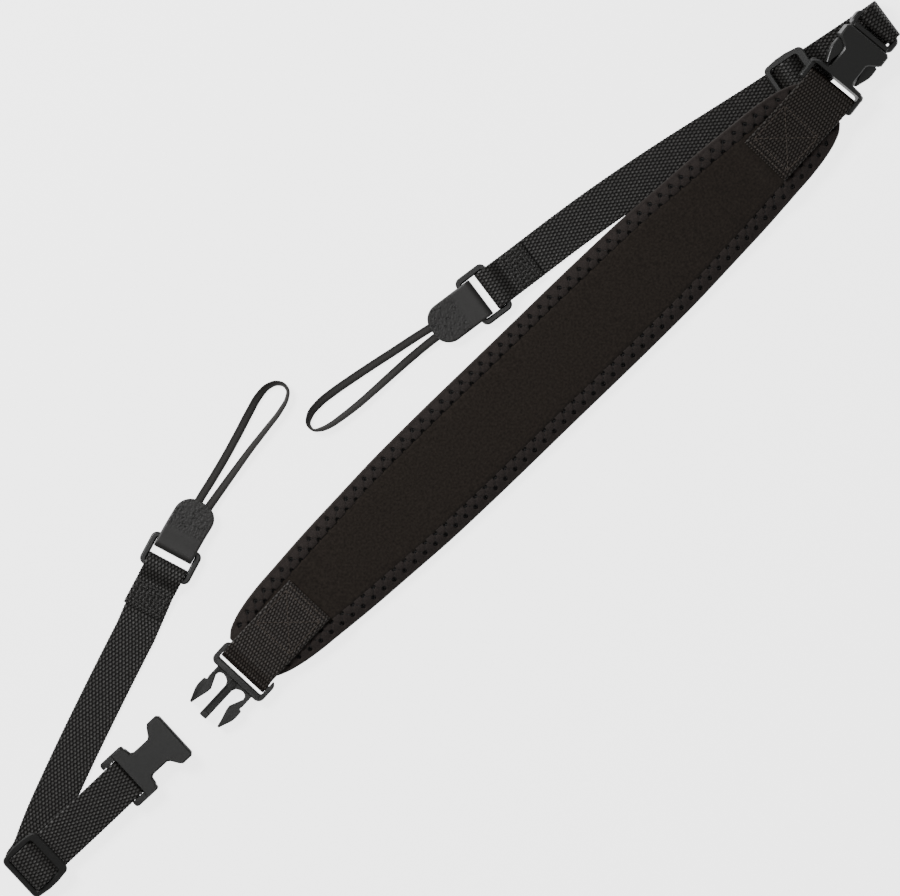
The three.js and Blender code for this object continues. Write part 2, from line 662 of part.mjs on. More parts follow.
// The sewn fold round the ring: side is +1 where the strap lies toward +x of the ring
function ringFold(place, side) {
  const loop = RING_OPENING / 2 + RING_Z;
  const centre = shifted(place, side * loop, RING_Z);
  const wrap = RING_Z - FLOOR_RUN;
  const bend = side > 0 ? turn(centre, wrap, -90, -270) : turn(centre, wrap, -90, 90);
  return [
    shifted(place, side * SEWN_FOLD * 0.6, FLOOR_RUN),
    shifted(place, side * (loop + 2), FLOOR_RUN),
    ...bend,
    shifted(place, side * (RING_LENGTH / 2), RING_Z + wrap),
    shifted(place, side * (RING_LENGTH / 2 + 4), FLOOR_RUN + LAYER),
    shifted(place, side * SEWN_FOLD, FLOOR_RUN + LAYER),
  ];
}

// Half-width of the leather at this distance from its tip
function leatherHalf(fromTip) {
  const short = LEATHER_CORNER - Math.min(fromTip, LEATHER_CORNER);
  return LEATHER_WIDTH / 2 - LEATHER_CORNER + Math.sqrt(LEATHER_CORNER ** 2 - short ** 2);
}

// A leather tab, folded round the ring: side is +1 where it lies toward +x of the ring
function leatherTab(place, side, bendYaw) {
  const start = RING_OPENING / 2;
  const tip = start + LEATHER_LENGTH;
  const low = LEATHER_THICKNESS / 2;
  const high = low + LEATHER_THICKNESS + GAP * 2 + CORD_THICKNESS;
  const wrap = RING_Z - low;
  const loop = start + wrap + low;
  const layer = (z) => {
    const stations = [];
    for (let i = 0; i <= 10; i += 1) {
      const fromTip = i < 8 ? (i / 7) ** 2 * LEATHER_CORNER : mix(LEATHER_CORNER, tip - loop - 5, (i - 7) / 3);
      const along = tip - fromTip;
      const bent = { ...place, yaw: place.yaw + bendYaw * smooth((along - loop) / (tip - loop)) };
      stations.push({ ...shifted(bent, side * along, z), half: leatherHalf(fromTip) });
    }
    return stations;
  };
  const centre = shifted(place, side * loop, RING_Z);
  const bend = side > 0 ? turn(centre, wrap, -90, -270) : turn(centre, wrap, -90, 90);
  const half = LEATHER_WIDTH / 2;
  const stations = [
    ...layer(low),
    ...bend.map((s) => ({ ...s, half })),
    { ...shifted(place, side * (loop + 3), RING_Z + wrap), half },
    ...layer(high).reverse(),
  ];
  return bentStrap(stations, LEATHER_WIDTH, LEATHER_THICKNESS);
}

// A flat cord along a route of [x, y, z, lean], on edge round its tip
function flatCord(route) {
  const curve = new THREE.CatmullRomCurve3(route.map(([x, y, z]) => new THREE.Vector3(x, y, z)));
  const last = route.length - 1;
  const steps = last * 2;
  const stations = [];
  for (let i = 0; i <= steps; i += 1) {
    const { x, y, z } = curve.getPoint(i / steps);
    const heading = curve.getTangent(i / steps);
    const angle = Math.atan2(heading.y, heading.x) / DEG;
    const before = stations.at(-1)?.yaw ?? angle;
    const yaw = before + THREE.MathUtils.euclideanModulo(angle - before + 180, 360) - 180;
    const k = Math.min(Math.floor(i / 2), last - 1);
    stations.push({ x, y, z, yaw, roll: mix(route[k][3], route[k + 1][3], i / 2 - k) });
  }
  return bentStrap(stations, CORD_WIDTH, CORD_THICKNESS);
}

// Assembly: the pad with its binding

add('pad_core', padCore(), suede);
add('pad_binding', padBinding(), binding);

// Buckle frames: bar, slot and back are distances along the buckle

const tabFrame = frameSizes(TAB_WIDTH);
const strapFrame = frameSizes(STRAP_WIDTH);
const wideStrapFrame = frameSizes(STRAP_WIDTH, WIDE_ARM);
const TAB_MALE = { base: 3.3, bar: -7.6, back: 12 };
const STRAP_MALE = { base: 2.6, bar: -7.2, back: 8.7 };
const TAB_FEMALE = { slotEdge: 24, bar: 29, back: 33.5 };
const STRAP_FEMALE = { slotEdge: 28.2, bar: 33, back: 35.8 };

function place(mesh, matrix) {
  matrix.decompose(mesh.position, mesh.quaternion, mesh.scale);
}

const maleLeftAt = placement(LIE.maleLeft);
const femaleLeftAt = placement(LIE.femaleLeft);
const closedAt = placement(LIE.closedRight);

place(add('male_buckle_left', geometryOf(maleBuckle(tabFrame, TAB_MALE)), plastic), maleLeftAt);
place(add('female_buckle_left', geometryOf(femaleBuckle(wideStrapFrame, STRAP_FEMALE)), plastic), femaleLeftAt);
place(add('male_buckle_right', geometryOf(maleBuckle(strapFrame, STRAP_MALE)), plastic), closedAt);
place(add('female_buckle_right', geometryOf(femaleBuckle(tabFrame, TAB_FEMALE)), plastic), closedAt);

// Tabs: one layer under the pad's end and one on it, joined round the buckle's bar

function tab(start, side, barCentre, yaw, roll) {
  const onPad = (x, above) => {
    const along = Math.abs(x) - Math.abs(start.x);
    const y = start.y + side * along * Math.sin(start.yaw * DEG);
    const lean = Math.atan(LIFT_SLOPE * smooth((x - LIFT_START) / (LIFT_END - LIFT_START))) / DEG;
    const off = GAP + TAB_THICKNESS / 2;
    const z = lift(x, y) + (above ? padTop(x, y) + off : -off);
    return { x, y, z, yaw: start.yaw, roll: lean };
  };
  const end = HALF_PAD + GAP;
  const shares = [0, 0.2, 0.4, 0.6, 0.8, 1];
  const upper = shares.map((share) => side * mix(Math.abs(start.x), end, share));
  const lower = shares.map((share) => side * mix(Math.abs(start.x) + TAB_HIDDEN, end, share));
  const centre = { ...barCentre, yaw, roll };
  const bend = side > 0 ? turn(centre, TAB_WRAP, -90, 90) : turn(centre, TAB_WRAP, -90, -270);
  return bentStrap(
    [...lower.map((x) => onPad(x, false)), ...bend, ...upper.reverse().map((x) => onPad(x, true))],
    TAB_WIDTH,
    TAB_THICKNESS,
  );
}

function inFrame(matrix, x) {
  const point = new THREE.Vector3(x, 0, 0).applyMatrix4(matrix);
  return { x: point.x, y: point.y, z: point.z };
}

add('tab_left', tab(LIE.tabLeft, -1, inFrame(maleLeftAt, TAB_MALE.bar), LIE.maleLeft.yaw - 180, 0), webbing);
const { yaw: closedYaw, roll: closedRoll } = LIE.closedRight;
add('tab_right', tab(LIE.tabRight, 1, inFrame(closedAt, TAB_FEMALE.bar), closedYaw - 180, -closedRoll), webbing);

// Sliders, rings and leather

const SLIDER_LEFT_BAR = FLOOR_RUN + OUTER_WRAP;
const SLIDER_RIGHT_BAR = FLOOR_RUN + INNER_WRAP;
sliderMesh('slider_left', LIE.sliderLeft, SLIDER_LEFT_BAR);
sliderMesh('slider_right', LIE.sliderRight, SLIDER_RIGHT_BAR);

for (const [name, at] of [['ring_left', LIE.ringLeft], ['ring_right', LIE.ringRight]]) {
  place(add(name, geometryOf(ring()), plastic), placement({ ...at, z: RING_Z, pitch: 0, roll: 0 }));
}

add('leather_tab_left', leatherTab(LIE.ringLeft, 1, -2), leather);
add('leather_tab_right', leatherTab(LIE.ringRight, -1, 0), leather);

// The open connector: slider, open buckle, back over the slider, then under it to the ring

const leftBuckleBar = { ...inFrame(femaleLeftAt, STRAP_FEMALE.bar - BAR_SLACK), yaw: LIE.sliderLeft.yaw };
const leftTurn = shifted(LIE.sliderLeft, -SLIDER_BAR_LENGTH * 1.5, SLIDER_LEFT_BAR);
const leftStations = [
  ...sewnLoop(LIE.sliderLeft, SLIDER_LEFT_BAR),
  shifted(LIE.sliderLeft, 30, SLIDER_LEFT_BAR - INNER_WRAP + LAYER - 0.6),
  ...turn(leftBuckleBar, BUCKLE_WRAP, -90, 90),
  shifted(LIE.sliderLeft, 30, SLIDER_LEFT_BAR - INNER_WRAP + LAYER * 2 + 0.4),
  ...overSlider(LIE.sliderLeft, SLIDER_LEFT_BAR),
  ...turn(leftTurn, OUTER_WRAP, 90, 180, {}, 5),
  ...turn(leftTurn, OUTER_WRAP, 186, 270, { yaw: RUN_LEFT[0].yaw, y: leftTurn.y + 3.2 }, 7),
  ...floorRun(RUN_LEFT, 14),
  ...ringFold(LIE.ringLeft, -1),
];
add('webbing_left', bentStrap(leftStations, STRAP_WIDTH, STRAP_THICKNESS), webbing);

// The closed connector: from the slider under the buckle, folded up at the far end and round the
// buckle's bar, back the same way, over the slider's bar and on to the ring

const FOLD_X = RIGHT_END + 44.2;
const toFold = (FOLD_X - LIE.sliderRight.x) / direction(LIE.sliderRight.yaw).x;
const foldAt = (z) => shifted(LIE.sliderRight, toFold, z);
const rightBar = inFrame(closedAt, STRAP_MALE.bar + 0.2);
const outerTop = rightBar.z + BUCKLE_WRAP;
const innerTop = rightBar.z - BUCKLE_WRAP;
const innerLow = FLOOR_RUN + LAYER;
const buckleRoll = -closedRoll;
const FOLD_SIDE = { yaw: -7, y: 8.2, roll: buckleRoll * 0.4 };
const FOLD_TOP = { yaw: 2, y: 8.2, roll: buckleRoll * 0.8 };
const outerRadius = (outerTop - FLOOR_RUN) / 2;
const innerRadius = (innerTop - innerLow) / 2;
const outerFold = foldAt(FLOOR_RUN + outerRadius);
const innerFold = { x: FOLD_X + 0.4, y: FOLD_SIDE.y, z: innerLow + innerRadius };
const rightStations = [
  ...sewnLoop(LIE.sliderRight, SLIDER_RIGHT_BAR),
  shifted(LIE.sliderRight, SEWN_TAIL + 4.5, FLOOR_RUN),
  ...turn(outerFold, outerRadius, -90, 0, FOLD_SIDE, 8),
  ...turn({ ...outerFold, ...FOLD_SIDE }, outerRadius, 10, 90, FOLD_TOP, 8),
  ...turn({ ...rightBar, yaw: closedYaw - 180, roll: buckleRoll }, BUCKLE_WRAP, 90, 270),
  ...turn({ ...innerFold, yaw: FOLD_TOP.yaw, roll: FOLD_TOP.roll }, innerRadius, 90, 18, { yaw: FOLD_SIDE.yaw, roll: FOLD_SIDE.roll }, 4),
  ...turn({ ...innerFold, ...FOLD_SIDE }, innerRadius, 0, -90, { yaw: LIE.sliderRight.yaw, roll: 0 }, 4),
  shifted(LIE.sliderRight, SEWN_TAIL + 8, innerLow),
  ...overSlider(LIE.sliderRight, SLIDER_RIGHT_BAR),
  shifted(LIE.sliderRight, -2.2, SLIDER_RIGHT_BAR + OUTER_WRAP - 0.3),
  shifted(LIE.sliderRight, -7.8, FLOOR_RUN + 0.2),
  shifted(LIE.sliderRight, -9, FLOOR_RUN),
  ...floorRun(RUN_RIGHT, 16),
  ...ringFold(LIE.ringRight, 1),
];
add('webbing_right', bentStrap(rightStations, STRAP_WIDTH, STRAP_THICKNESS), webbing);

// Cord loops

add('cord_loop_left', flatCord(CORD_LEFT), cord);
add('cord_loop_right', flatCord(CORD_RIGHT), cord);

export default assembly;
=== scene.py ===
# Camera neck strap, lying flat: the visual model, its floor, light and camera.
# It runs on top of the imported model, in the same frame. Lengths are millimetres until a mesh is
# finished, then metres. Left is the end with the open buckle and right the one with the closed.
import math
from bisect import bisect_left
from itertools import accumulate
from typing import NamedTuple

import bmesh
import bpy
from bpy.props import FloatProperty, FloatVectorProperty, PointerProperty
from mathutils import Matrix, Vector, noise


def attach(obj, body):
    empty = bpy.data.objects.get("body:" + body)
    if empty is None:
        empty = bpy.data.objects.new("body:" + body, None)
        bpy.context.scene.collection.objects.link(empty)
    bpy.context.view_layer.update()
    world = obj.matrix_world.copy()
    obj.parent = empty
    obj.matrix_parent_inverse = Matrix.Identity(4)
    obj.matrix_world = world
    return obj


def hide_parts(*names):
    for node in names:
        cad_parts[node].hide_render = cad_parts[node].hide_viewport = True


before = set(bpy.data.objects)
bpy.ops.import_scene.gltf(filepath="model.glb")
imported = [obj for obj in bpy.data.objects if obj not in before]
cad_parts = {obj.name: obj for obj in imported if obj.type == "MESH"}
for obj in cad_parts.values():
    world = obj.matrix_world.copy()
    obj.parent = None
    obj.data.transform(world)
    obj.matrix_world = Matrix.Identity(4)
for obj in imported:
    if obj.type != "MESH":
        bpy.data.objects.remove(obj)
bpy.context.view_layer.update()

bl_info = {
    "name": "Camera neck strap",
    "version": (1, 0, 0),
    "blender": (4, 5, 0),
    "location": "3D View > Sidebar > Neck strap",
    "description": "Makes a padded camera neck strap with buckles, sliders, rings and cord loops",
    "category": "Object",
}

DEG = math.pi / 180

# Room between one piece and the next
GAP = 0.3

# The binding's two stitched rows: distances in from the edge
OUTER_ROW = 3.0
INNER_ROW = 7.3

# Weaves: pitch of the yarns along and across, and how far they run together into crosswise
# ridges (1 for not at all). Their relief is the same everywhere.
TAB_WEAVE = (3.7, 1.9, 0.3)
STRAP_WEAVE = (3.4, 2.0, 0.42)
WEAVE_DEPTH = 0.22

# Bars that straps run round: heights, and their places along each buckle
BUCKLE_BAR = 2.5
RING_BAR = 2.1
SLIDER_BAR = 1.8
SLIDER_BAR_LENGTH = 2.4
MALE_TAB_BAR = -7.6
MALE_STRAP_BAR = -7.0
FEMALE_TAB_BAR = 29
FEMALE_STRAP_BAR = 31.2

# Rings: length along the strap, and width of the opening between the two bars
RING_LENGTH = 16.4
RING_OPENING = 3.1

# Ends of the straps: length of the tail behind a slider and of the fold by a ring, and how far
# past the pad the closed end folds back
SEWN_TAIL = 8.5
SEWN_FOLD = 28
CLOSED_FOLD = 44.2

# Where the closed end of the pad starts to rise (a share of half its length) and stops (from
# its end), its height there on one line along the strap, and how much it leans across
RISE_START = 0.27
RISE_STOP = 12.5
RISE = 6.1
RISE_Y = 3.8
RISE_LEAN = 0.2

# Ends of the pad: crown, and where it steps up onto a tab and over what length
PAD_END_CROWN = 0.3
TAB_REACH = 48
TAB_RAMP = 8

# Half-width of the pad: shares of the half-length and of the half-width
PAD_OUTLINE = [
    (0, 1), (0.3, 0.998), (0.42, 0.984), (0.56, 0.936), (0.7, 0.88), (0.8, 0.82),
    (0.862, 0.782), (0.916, 0.722), (0.957, 0.645), (0.986, 0.548), (1, 0.46),
]

# Places of the pieces: x, y, yaw, and for the buckles z, pitch and roll too
TAB_LEFT = (-144.9, -0.35, 3.0)
TAB_RIGHT = (146.4, -0.9, 3.3)
MALE_LEFT = {"at": (-196.5, -3.6, 3.0), "yaw": 183.2, "pitch": 0, "roll": 0}
FEMALE_LEFT = {"at": (-233.1, -2.0, 4.1), "yaw": 178.6, "pitch": 0, "roll": 0}
CLOSED_RIGHT = {"at": (220.4, 6.7, 8.8), "yaw": 188, "pitch": -2, "roll": -11.3}
SLIDER_LEFT = (-321.8, -0.5, -1)
SLIDER_RIGHT = (184, 16.5, -10)
RING_LEFT = (-178.3, 58.2, 18)
RING_RIGHT = (10.9, 45.2, -7)

# Routes of the long runs, from slider to ring: x, y, yaw
RUN_LEFT = [
    (-318, 5.2, 24.5), (-305, 11.2, 23), (-283, 20, 21), (-244.2, 34.3, 20), (-213, 45.2, 19),
]
RUN_RIGHT = [
    (165.1, 20, -11), (141.9, 24.8, -12), (118.8, 29.6, -11), (95.6, 33.9, -10), (72, 37.7, -8.5),
    (53, 40.2, -7),
]

# Routes of the cords, from the leather to the tip and back: x, y, z, and the angle at which the
# flat cord leans toward its edge
CORD_LEFT = [
    (-158.2, 65.6, 2.15, 0), (-150.5, 68.1, 2.1, 0), (-139.3, 71, 0.95, 0), (-127.7, 74.2, 0.65, 0),
    (-116.1, 77.8, 0.74, 4), (-104.6, 81.6, 1.1, 14), (-96.8, 83.8, 1.5, 28), (-91, 84.1, 1.86, 44),
    (-86.8, 82.4, 2.06, 58), (-84.9, 79.6, 2.12, 68), (-85.3, 76.4, 2.12, 72),
    (-88.3, 73.9, 2.12, 66), (-93.8, 72.1, 2.06, 58), (-104.6, 70.4, 1.95, 50),
    (-116.1, 68.8, 1.82, 42), (-127.7, 66.8, 1.6, 32), (-139.3, 64.7, 1.25, 15),
    (-149.7, 62.7, 2.1, 0), (-157.4, 60.9, 2.15, 0),
]
CORD_RIGHT = [
    (-9.6, 49.6, 2.15, 0), (-17.4, 51.2, 2.1, 0), (-25.8, 53, 0.95, 0), (-37.4, 55.2, 0.65, 0),
    (-49, 57.5, 0.65, 0), (-60.6, 59.6, 0.65, 0), (-69.8, 61.1, 0.78, -5), (-79.1, 61.9, 1.28, -20),
    (-85.7, 61, 1.74, -38), (-89.4, 58.3, 2.12, -66), (-89.6, 55, 2.12, -84),
    (-86.6, 52.6, 2.1, -62), (-82.2, 51, 1.95, -50), (-76, 50, 1.82, -42), (-66.7, 49, 1.65, -34),
    (-56.7, 48.5, 1.5, -28), (-45.1, 48.1, 1.15, -14), (-33.6, 47.6, 0.95, 0),
    (-18.1, 46.2, 2.1, 0), (-10.4, 45, 2.15, 0),
]


def linear(code):
    """The linear colour, with alpha, of six sRGB hexadecimal digits."""
    shares = [int(code[i:i + 2], 16) / 255 for i in (0, 2, 4)]
    return (*(((c + 0.055) / 1.055) ** 2.4 if c > 0.04045 else c / 12.92 for c in shares), 1)


def millimetres(name, description, default):
    return FloatProperty(name=name, description=description, default=default)


def hex_colour(name, description, code):
    return FloatVectorProperty(
        name=name, description=description, subtype="COLOR", size=4, default=linear(code)
    )


class NeckStrapSizes(bpy.types.PropertyGroup):
    """Sizes of the strap in millimetres, and its colours"""

    pad_length: millimetres("Pad length", "End to end, with the binding", 369)
    pad_width: millimetres("Pad width", "At the middle, with the binding", 53.2)
    pad_edge: millimetres("Pad edge height", "Height at the bound edge", 3.6)
    pad_crown: millimetres("Pad crown", "Rise of the middle over the edge", 1.8)
    binding_width: millimetres("Binding width", "Width of the bound edge", 8)
    stitch_pitch: millimetres("Stitch pitch", "One zigzag of the binding's stitches", 6.3)
    tab_width: millimetres("Tab width", "Width of the tabs' webbing", 26.2)
    tab_thickness: millimetres("Tab thickness", "Thickness of the tabs' webbing", 1.4)
    strap_width: millimetres("Strap width", "Width of the connectors", 19.7)
    strap_thickness: millimetres("Strap thickness", "Thickness of the connectors", 1.2)
    leather_width: millimetres("Leather width", "Width of the leather", 19.5)
    leather_thickness: millimetres("Leather thickness", "Thickness of one layer", 1.3)
    cord_width: millimetres("Cord width", "Width of the flat cord", 4)
    cord_thickness: millimetres("Cord thickness", "Thickness of the flat cord", 1.1)
    suede_colour: hex_colour("Suede", "Nap of the pad", "28231f")
    cloth_colour: hex_colour("Binding", "Cloth of the bound edge", "2b2624")
    tab_colour: hex_colour("Tabs", "Webbing of the tabs", "16120f")
    cord_colour: hex_colour("Cords", "Braid of the cord loops", "272625")
    webbing_colour: hex_colour("Webbing", "Webbing of the connectors", "1a1918")
    plastic_colour: hex_colour("Plastic", "Buckles, sliders and rings", "1b1b1a")
    leather_colour: hex_colour("Leather", "Leather tabs", "262524")


def sizes():
    return bpy.context.scene.neck_strap


# Small maths


def mix(a, b, share):
    return a + (b - a) * share


def smooth(share):
    t = min(max(share, 0), 1)
    return t * t * (3 - 2 * t)


def bump(x, width):
    return math.exp(-((x / width) ** 2))


def running(lengths):
    """Places along a line of these lengths, from 0 to its end."""
    return [0.0, *accumulate(lengths)]


def looped(items):
    """Each item with the next one, and the last with the first."""
    return zip(items, items[1:] + items[:1])


def direction(yaw):
    return Vector((math.cos(yaw * DEG), math.sin(yaw * DEG), 0))


def across(yaw, roll=0):
    """The direction across a strap whose line has this yaw, its +Y edge leaning up by roll."""
    return Vector((
        -math.sin(yaw * DEG) * math.cos(roll * DEG),
        math.cos(yaw * DEG) * math.cos(roll * DEG),
        math.sin(roll * DEG),
    ))


class Station(NamedTuple):
    """A place on a strap's middle line, and half its width where that differs from the strap's."""

    point: Vector
    yaw: float
    roll: float = 0
    half: float = 0


def shifted(place, along, z):
    """A station this far along the heading of a place (x, y, yaw), at this height."""
    x, y, yaw = place
    d = direction(yaw)
    return Station(Vector((x + d.x * along, y + d.y * along, z)), yaw)


def turn(centre, radius, start, end, yaw=None, y=None, roll=None, steps=10):
    """Stations on an arc in the upright plane along the strap, drifting to this yaw, y and roll."""
    stations = []
    for i in range(steps + 1):
        share = i / steps
        angle = mix(start, end, share) * DEG
        now = mix(centre.yaw, centre.yaw if yaw is None else yaw, share)
        lean = mix(centre.roll, centre.roll if roll is None else roll, share)
        ahead = direction(now)
        up = ahead.cross(across(now, lean))
        middle = centre.point.copy()
        middle.y = mix(middle.y, middle.y if y is None else y, share)
        point = middle + ahead * radius * math.cos(angle) + up * radius * math.sin(angle)
        stations.append(Station(point, now, lean))
    return stations


def curve_slopes(points, knots):
    """Slopes at these points of a smooth curve through them, which hardly overshoots."""
    gaps = [b - a for a, b in zip(knots, knots[1:])]
    rises = [(b - a) / gap for a, b, gap in zip(points, points[1:], gaps)]
    slopes = [rises[0]]
    for k in range(1, len(rises)):
        slope = rises[k - 1] * gaps[k] + rises[k] * gaps[k - 1]
        slopes.append(slope / (gaps[k - 1] + gaps[k]))
    return [*slopes, rises[-1]]


def curve_at(points, slopes, knots, at):
    """The knot after this place, the share of the way to it, and the curve's value here."""
    i = min(max(bisect_left(knots, at), 1), len(knots) - 1)
    gap = knots[i] - knots[i - 1]
    t = (at - knots[i - 1]) / gap
    value = (
        points[i - 1] * (2 * t**3 - 3 * t**2 + 1) + slopes[i - 1] * gap * (t**3 - 2 * t**2 + t)
        + points[i] * (3 * t**2 - 2 * t**3) + slopes[i] * gap * (t**3 - t**2)
    )
    return i, t, value


def half_turn(centre, radius, side):
    """Stations from below a bar to above it, round the face that looks away from this side."""
    return turn(centre, radius, -90, -270 if side > 0 else 90)


def eased(stations, long=10, near=3):
    """The same line with a station near each end of its long straight lengths."""
    result = [stations[0]]
    for a, b in zip(stations, stations[1:]):
        gap = (b.point - a.point).length
        if gap > long:
            for share in (near / gap, 1 - near / gap):
                point = a.point.lerp(b.point, share)
                result.append(Station(point, mix(a.yaw, b.yaw, share), mix(a.roll, b.roll, share)))
        result.append(b)
    return result


def resampled(stations, step):
    """Stations at even steps along a smooth line through these ones."""
    points = [s.point for s in stations]
    knots = running(max((b - a).length, 1e-3) for a, b in zip(points, points[1:]))
    slopes = curve_slopes(points, knots)
    count = round(knots[-1] / step)
    result = []
    for k in range(count + 1):
        i, t, point = curve_at(points, slopes, knots, knots[-1] * k / count)
        a, b = stations[i - 1], stations[i]
        result.append(Station(point, *(mix(p, q, t) for p, q in zip(a[1:], b[1:]))))
    return result


def heading(rows, k):
    """The way from the station before this one to the station after it."""
    return rows[min(k + 1, len(rows) - 1)].point - rows[max(k - 1, 0)].point


def along_buckle(buckle, along):
    """A place on a buckle's middle line, in the strap's frame."""
    turned = Matrix.Rotation(buckle["yaw"] * DEG, 4, "Z")
    turned @= Matrix.Rotation(buckle["pitch"] * DEG, 4, "Y")
    turned @= Matrix.Rotation(buckle["roll"] * DEG, 4, "X")
    return Matrix.Translation(Vector(buckle["at"])) @ turned @ Vector((along, 0, 0))


# Meshes


def finished(name, bm, material, node, flat_angle=None):
    """An object in metres from a bmesh in millimetres, riding on the one body."""
    bmesh.ops.recalc_face_normals(bm, faces=bm.faces)
    for face in bm.faces:
        face.smooth = True
    for vert in bm.verts:
        vert.co.z = max(vert.co.z, 0)
    mesh = bpy.data.meshes.new(name)
    bm.to_mesh(mesh)
    bm.free()
    mesh.transform(Matrix.Scale(0.001, 4))
    if flat_angle:
        mesh.set_sharp_from_angle(angle=flat_angle * DEG)
    mesh.materials.append(material)
    piece = bpy.data.objects.new(name, mesh)
    bpy.context.scene.collection.objects.link(piece)
    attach(piece, "root")
    if node:
        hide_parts(node)
    return piece


def tube(rows, around, point, flat, closed=False):
    """A skin of rows along and points around: point(k, j) in millimetres, flat(k, j) its UV."""
    bm = bmesh.new()
    bmesh.ops.create_grid(bm, x_segments=rows, y_segments=around, size=0.5)
    uv = bm.loops.layers.uv.new("UVMap")
    spots = {}
    for vert in bm.verts:
        k = round((vert.co.x + 0.5) * rows)
        j = round((vert.co.y + 0.5) * around)
        spots[vert] = flat(k, j)
        vert.co = point(k % rows if closed else k, j % around)
    for face in bm.faces:
        for loop in face.loops:
            loop[uv].uv = spots[loop.vert]
    bmesh.ops.remove_doubles(bm, verts=bm.verts, dist=1e-4)
    rims = [edge for edge in bm.edges if edge.is_boundary]
    if rims:
        bmesh.ops.holes_fill(bm, edges=rims, sides=0)
    return bm


def flat_outline(across_steps, round_steps=3):
    """Outline of a flat strap as (share of half-width, share of half-thickness, edge share)."""
    outline = []
    for side in (1, -1):
        for i in range(across_steps + 1):
            outline.append((side * mix(-1, 1, i / across_steps), side, 0))
        for i in range(1, round_steps):
            angle = i / round_steps * math.pi
            outline.append((side, side * math.cos(angle), math.sin(angle)))
    return outline


def yarns(u, v, row_mm, column_mm, ridge):
    """Height, from 0 to 1, of staggered yarns at a place along and across a woven strap."""
    a = math.pi * u / row_mm
    b = math.pi * v / column_mm
    over = abs(math.sin(a)) * abs(math.sin(b)) ** ridge
    under = abs(math.cos(a)) * abs(math.cos(b)) ** ridge
    return max(over, under)


def flat_strap(stations, width, thickness, step, across_steps, weave=None):
    """A strap with rounded edges along these stations, with the relief of a weave or plain."""
    rows = resampled(eased(stations), step)
    outline = flat_outline(across_steps)
    last = len(rows) - 1
    edge = thickness * 0.4
    spread = running(
        max(abs(a[0] - b[0]) * width / 2, thickness / 3) for a, b in looped(outline)
    )
    frames = []
    for k, here in enumerate(rows):
        side = across(here.yaw, here.roll)
        frames.append((side, heading(rows, k).cross(side).normalized()))

    def point(k, j):
        a, b, out = outline[j]
        half = (rows[k].half or width / 2) - edge
        side, up = frames[k]
        wide = a * half + (edge * out if a > 0 else -edge * out if a < 0 else 0)
        high = b * thickness / 2
        if weave:
            along = step * k
            high -= b * WEAVE_DEPTH * (1 - yarns(along, spread[j], *weave))
            wide += a * WEAVE_DEPTH * 0.5 * math.cos(4 * math.pi * along / weave[0])
        return rows[k].point + side * wide + up * high

    return tube(last, len(outline), point, lambda k, j: (step * k - step * last, spread[j]))


def rod(bm, a, b, radius, segments=6):
    """A straight length of thread from a to b."""
    along = b - a
    matrix = Matrix.Translation((a + b) / 2) @ along.to_track_quat("Z", "Y").to_matrix().to_4x4()
    bmesh.ops.create_cone(
        bm, cap_ends=True, segments=segments, radius1=radius, radius2=radius,
        depth=along.length + radius, matrix=matrix,
    )


# Materials


def add_node(tree, kind, **values):
    node = tree.nodes.new(kind)
    for name, value in values.items():
        if name in node.inputs:
            node.inputs[name].default_value = value
        else:
            setattr(node, name, value)
    return node


def new_material(name, colour, roughness, sheen=0, gloss=0.5):
    """A material with a principled shader: returns the material, its tree and the shader."""
    material = bpy.data.materials.new(name)
    material.use_nodes = True
    tree = material.node_tree
    shader = tree.nodes["Principled BSDF"]
    shader.inputs["Base Color"].default_value = colour
    shader.inputs["Roughness"].default_value = roughness
    shader.inputs["Sheen Weight"].default_value = sheen
    shader.inputs["Specular IOR Level"].default_value = gloss
    return material, tree, shader


def link(tree, a, b):
    tree.links.new(a, b)


def grain(tree, scale_mm, detail):
    """Noise in object space with a feature about this many millimetres across."""
    place = add_node(tree, "ShaderNodeTexCoord")
    texture = add_node(tree, "ShaderNodeTexNoise", Scale=1000 / scale_mm, Detail=detail)
    link(tree, place.outputs["Object"], texture.inputs["Vector"])
    return texture.outputs["Fac"]


def add_bump(tree, shader, height, distance_mm, strength):
    node = add_node(tree, "ShaderNodeBump", Strength=strength, Distance=distance_mm / 1000)
    link(tree, height, node.inputs["Height"])
    link(tree, node.outputs["Normal"], shader.inputs["Normal"])


def scaled(colour, share):
    return tuple(c * share for c in colour[:3]) + (1,)


def shade(tree, shader, factor, colour, dark, light):
    """Colour by a factor, from this dark to this light a share of it."""
    ramp = add_node(tree, "ShaderNodeMix", data_type="RGBA")
    ramp.inputs["A"].default_value = scaled(colour, dark)
    ramp.inputs["B"].default_value = scaled(colour, light)
    link(tree, factor, ramp.inputs["Factor"])
    link(tree, ramp.outputs["Result"], shader.inputs["Base Color"])


def suede_material(name):
    # Microfibre suede, brushed: a short dull nap with slightly paler patches
    colour = sizes().suede_colour
    material, tree, shader = new_material(name, colour, 0.95, 0.15, 0.1)
    nap = grain(tree, 1.1, 6)
    shade(tree, shader, nap, colour, 0.15, 1.9)
    add_bump(tree, shader, nap, 0.25, 0.6)
    return material


def flat_place(tree):
    """A piece's unrolled surface in millimetres: as one vector, along and across."""
    place = add_node(tree, "ShaderNodeTexCoord").outputs["UV"]
    parts = add_node(tree, "ShaderNodeSeparateXYZ")
    link(tree, place, parts.inputs["Vector"])
    return place, parts.outputs["X"], parts.outputs["Y"]


def wave(tree, vector, direction_name, pitch_mm):
    """Bands from 0 to 1 with this pitch."""
    texture = add_node(tree, "ShaderNodeTexWave", wave_type="BANDS", bands_direction=direction_name)
    texture.inputs["Scale"].default_value = 2 * math.pi / (20 * pitch_mm)
    link(tree, vector, texture.inputs["Vector"])
    return texture.outputs["Fac"]


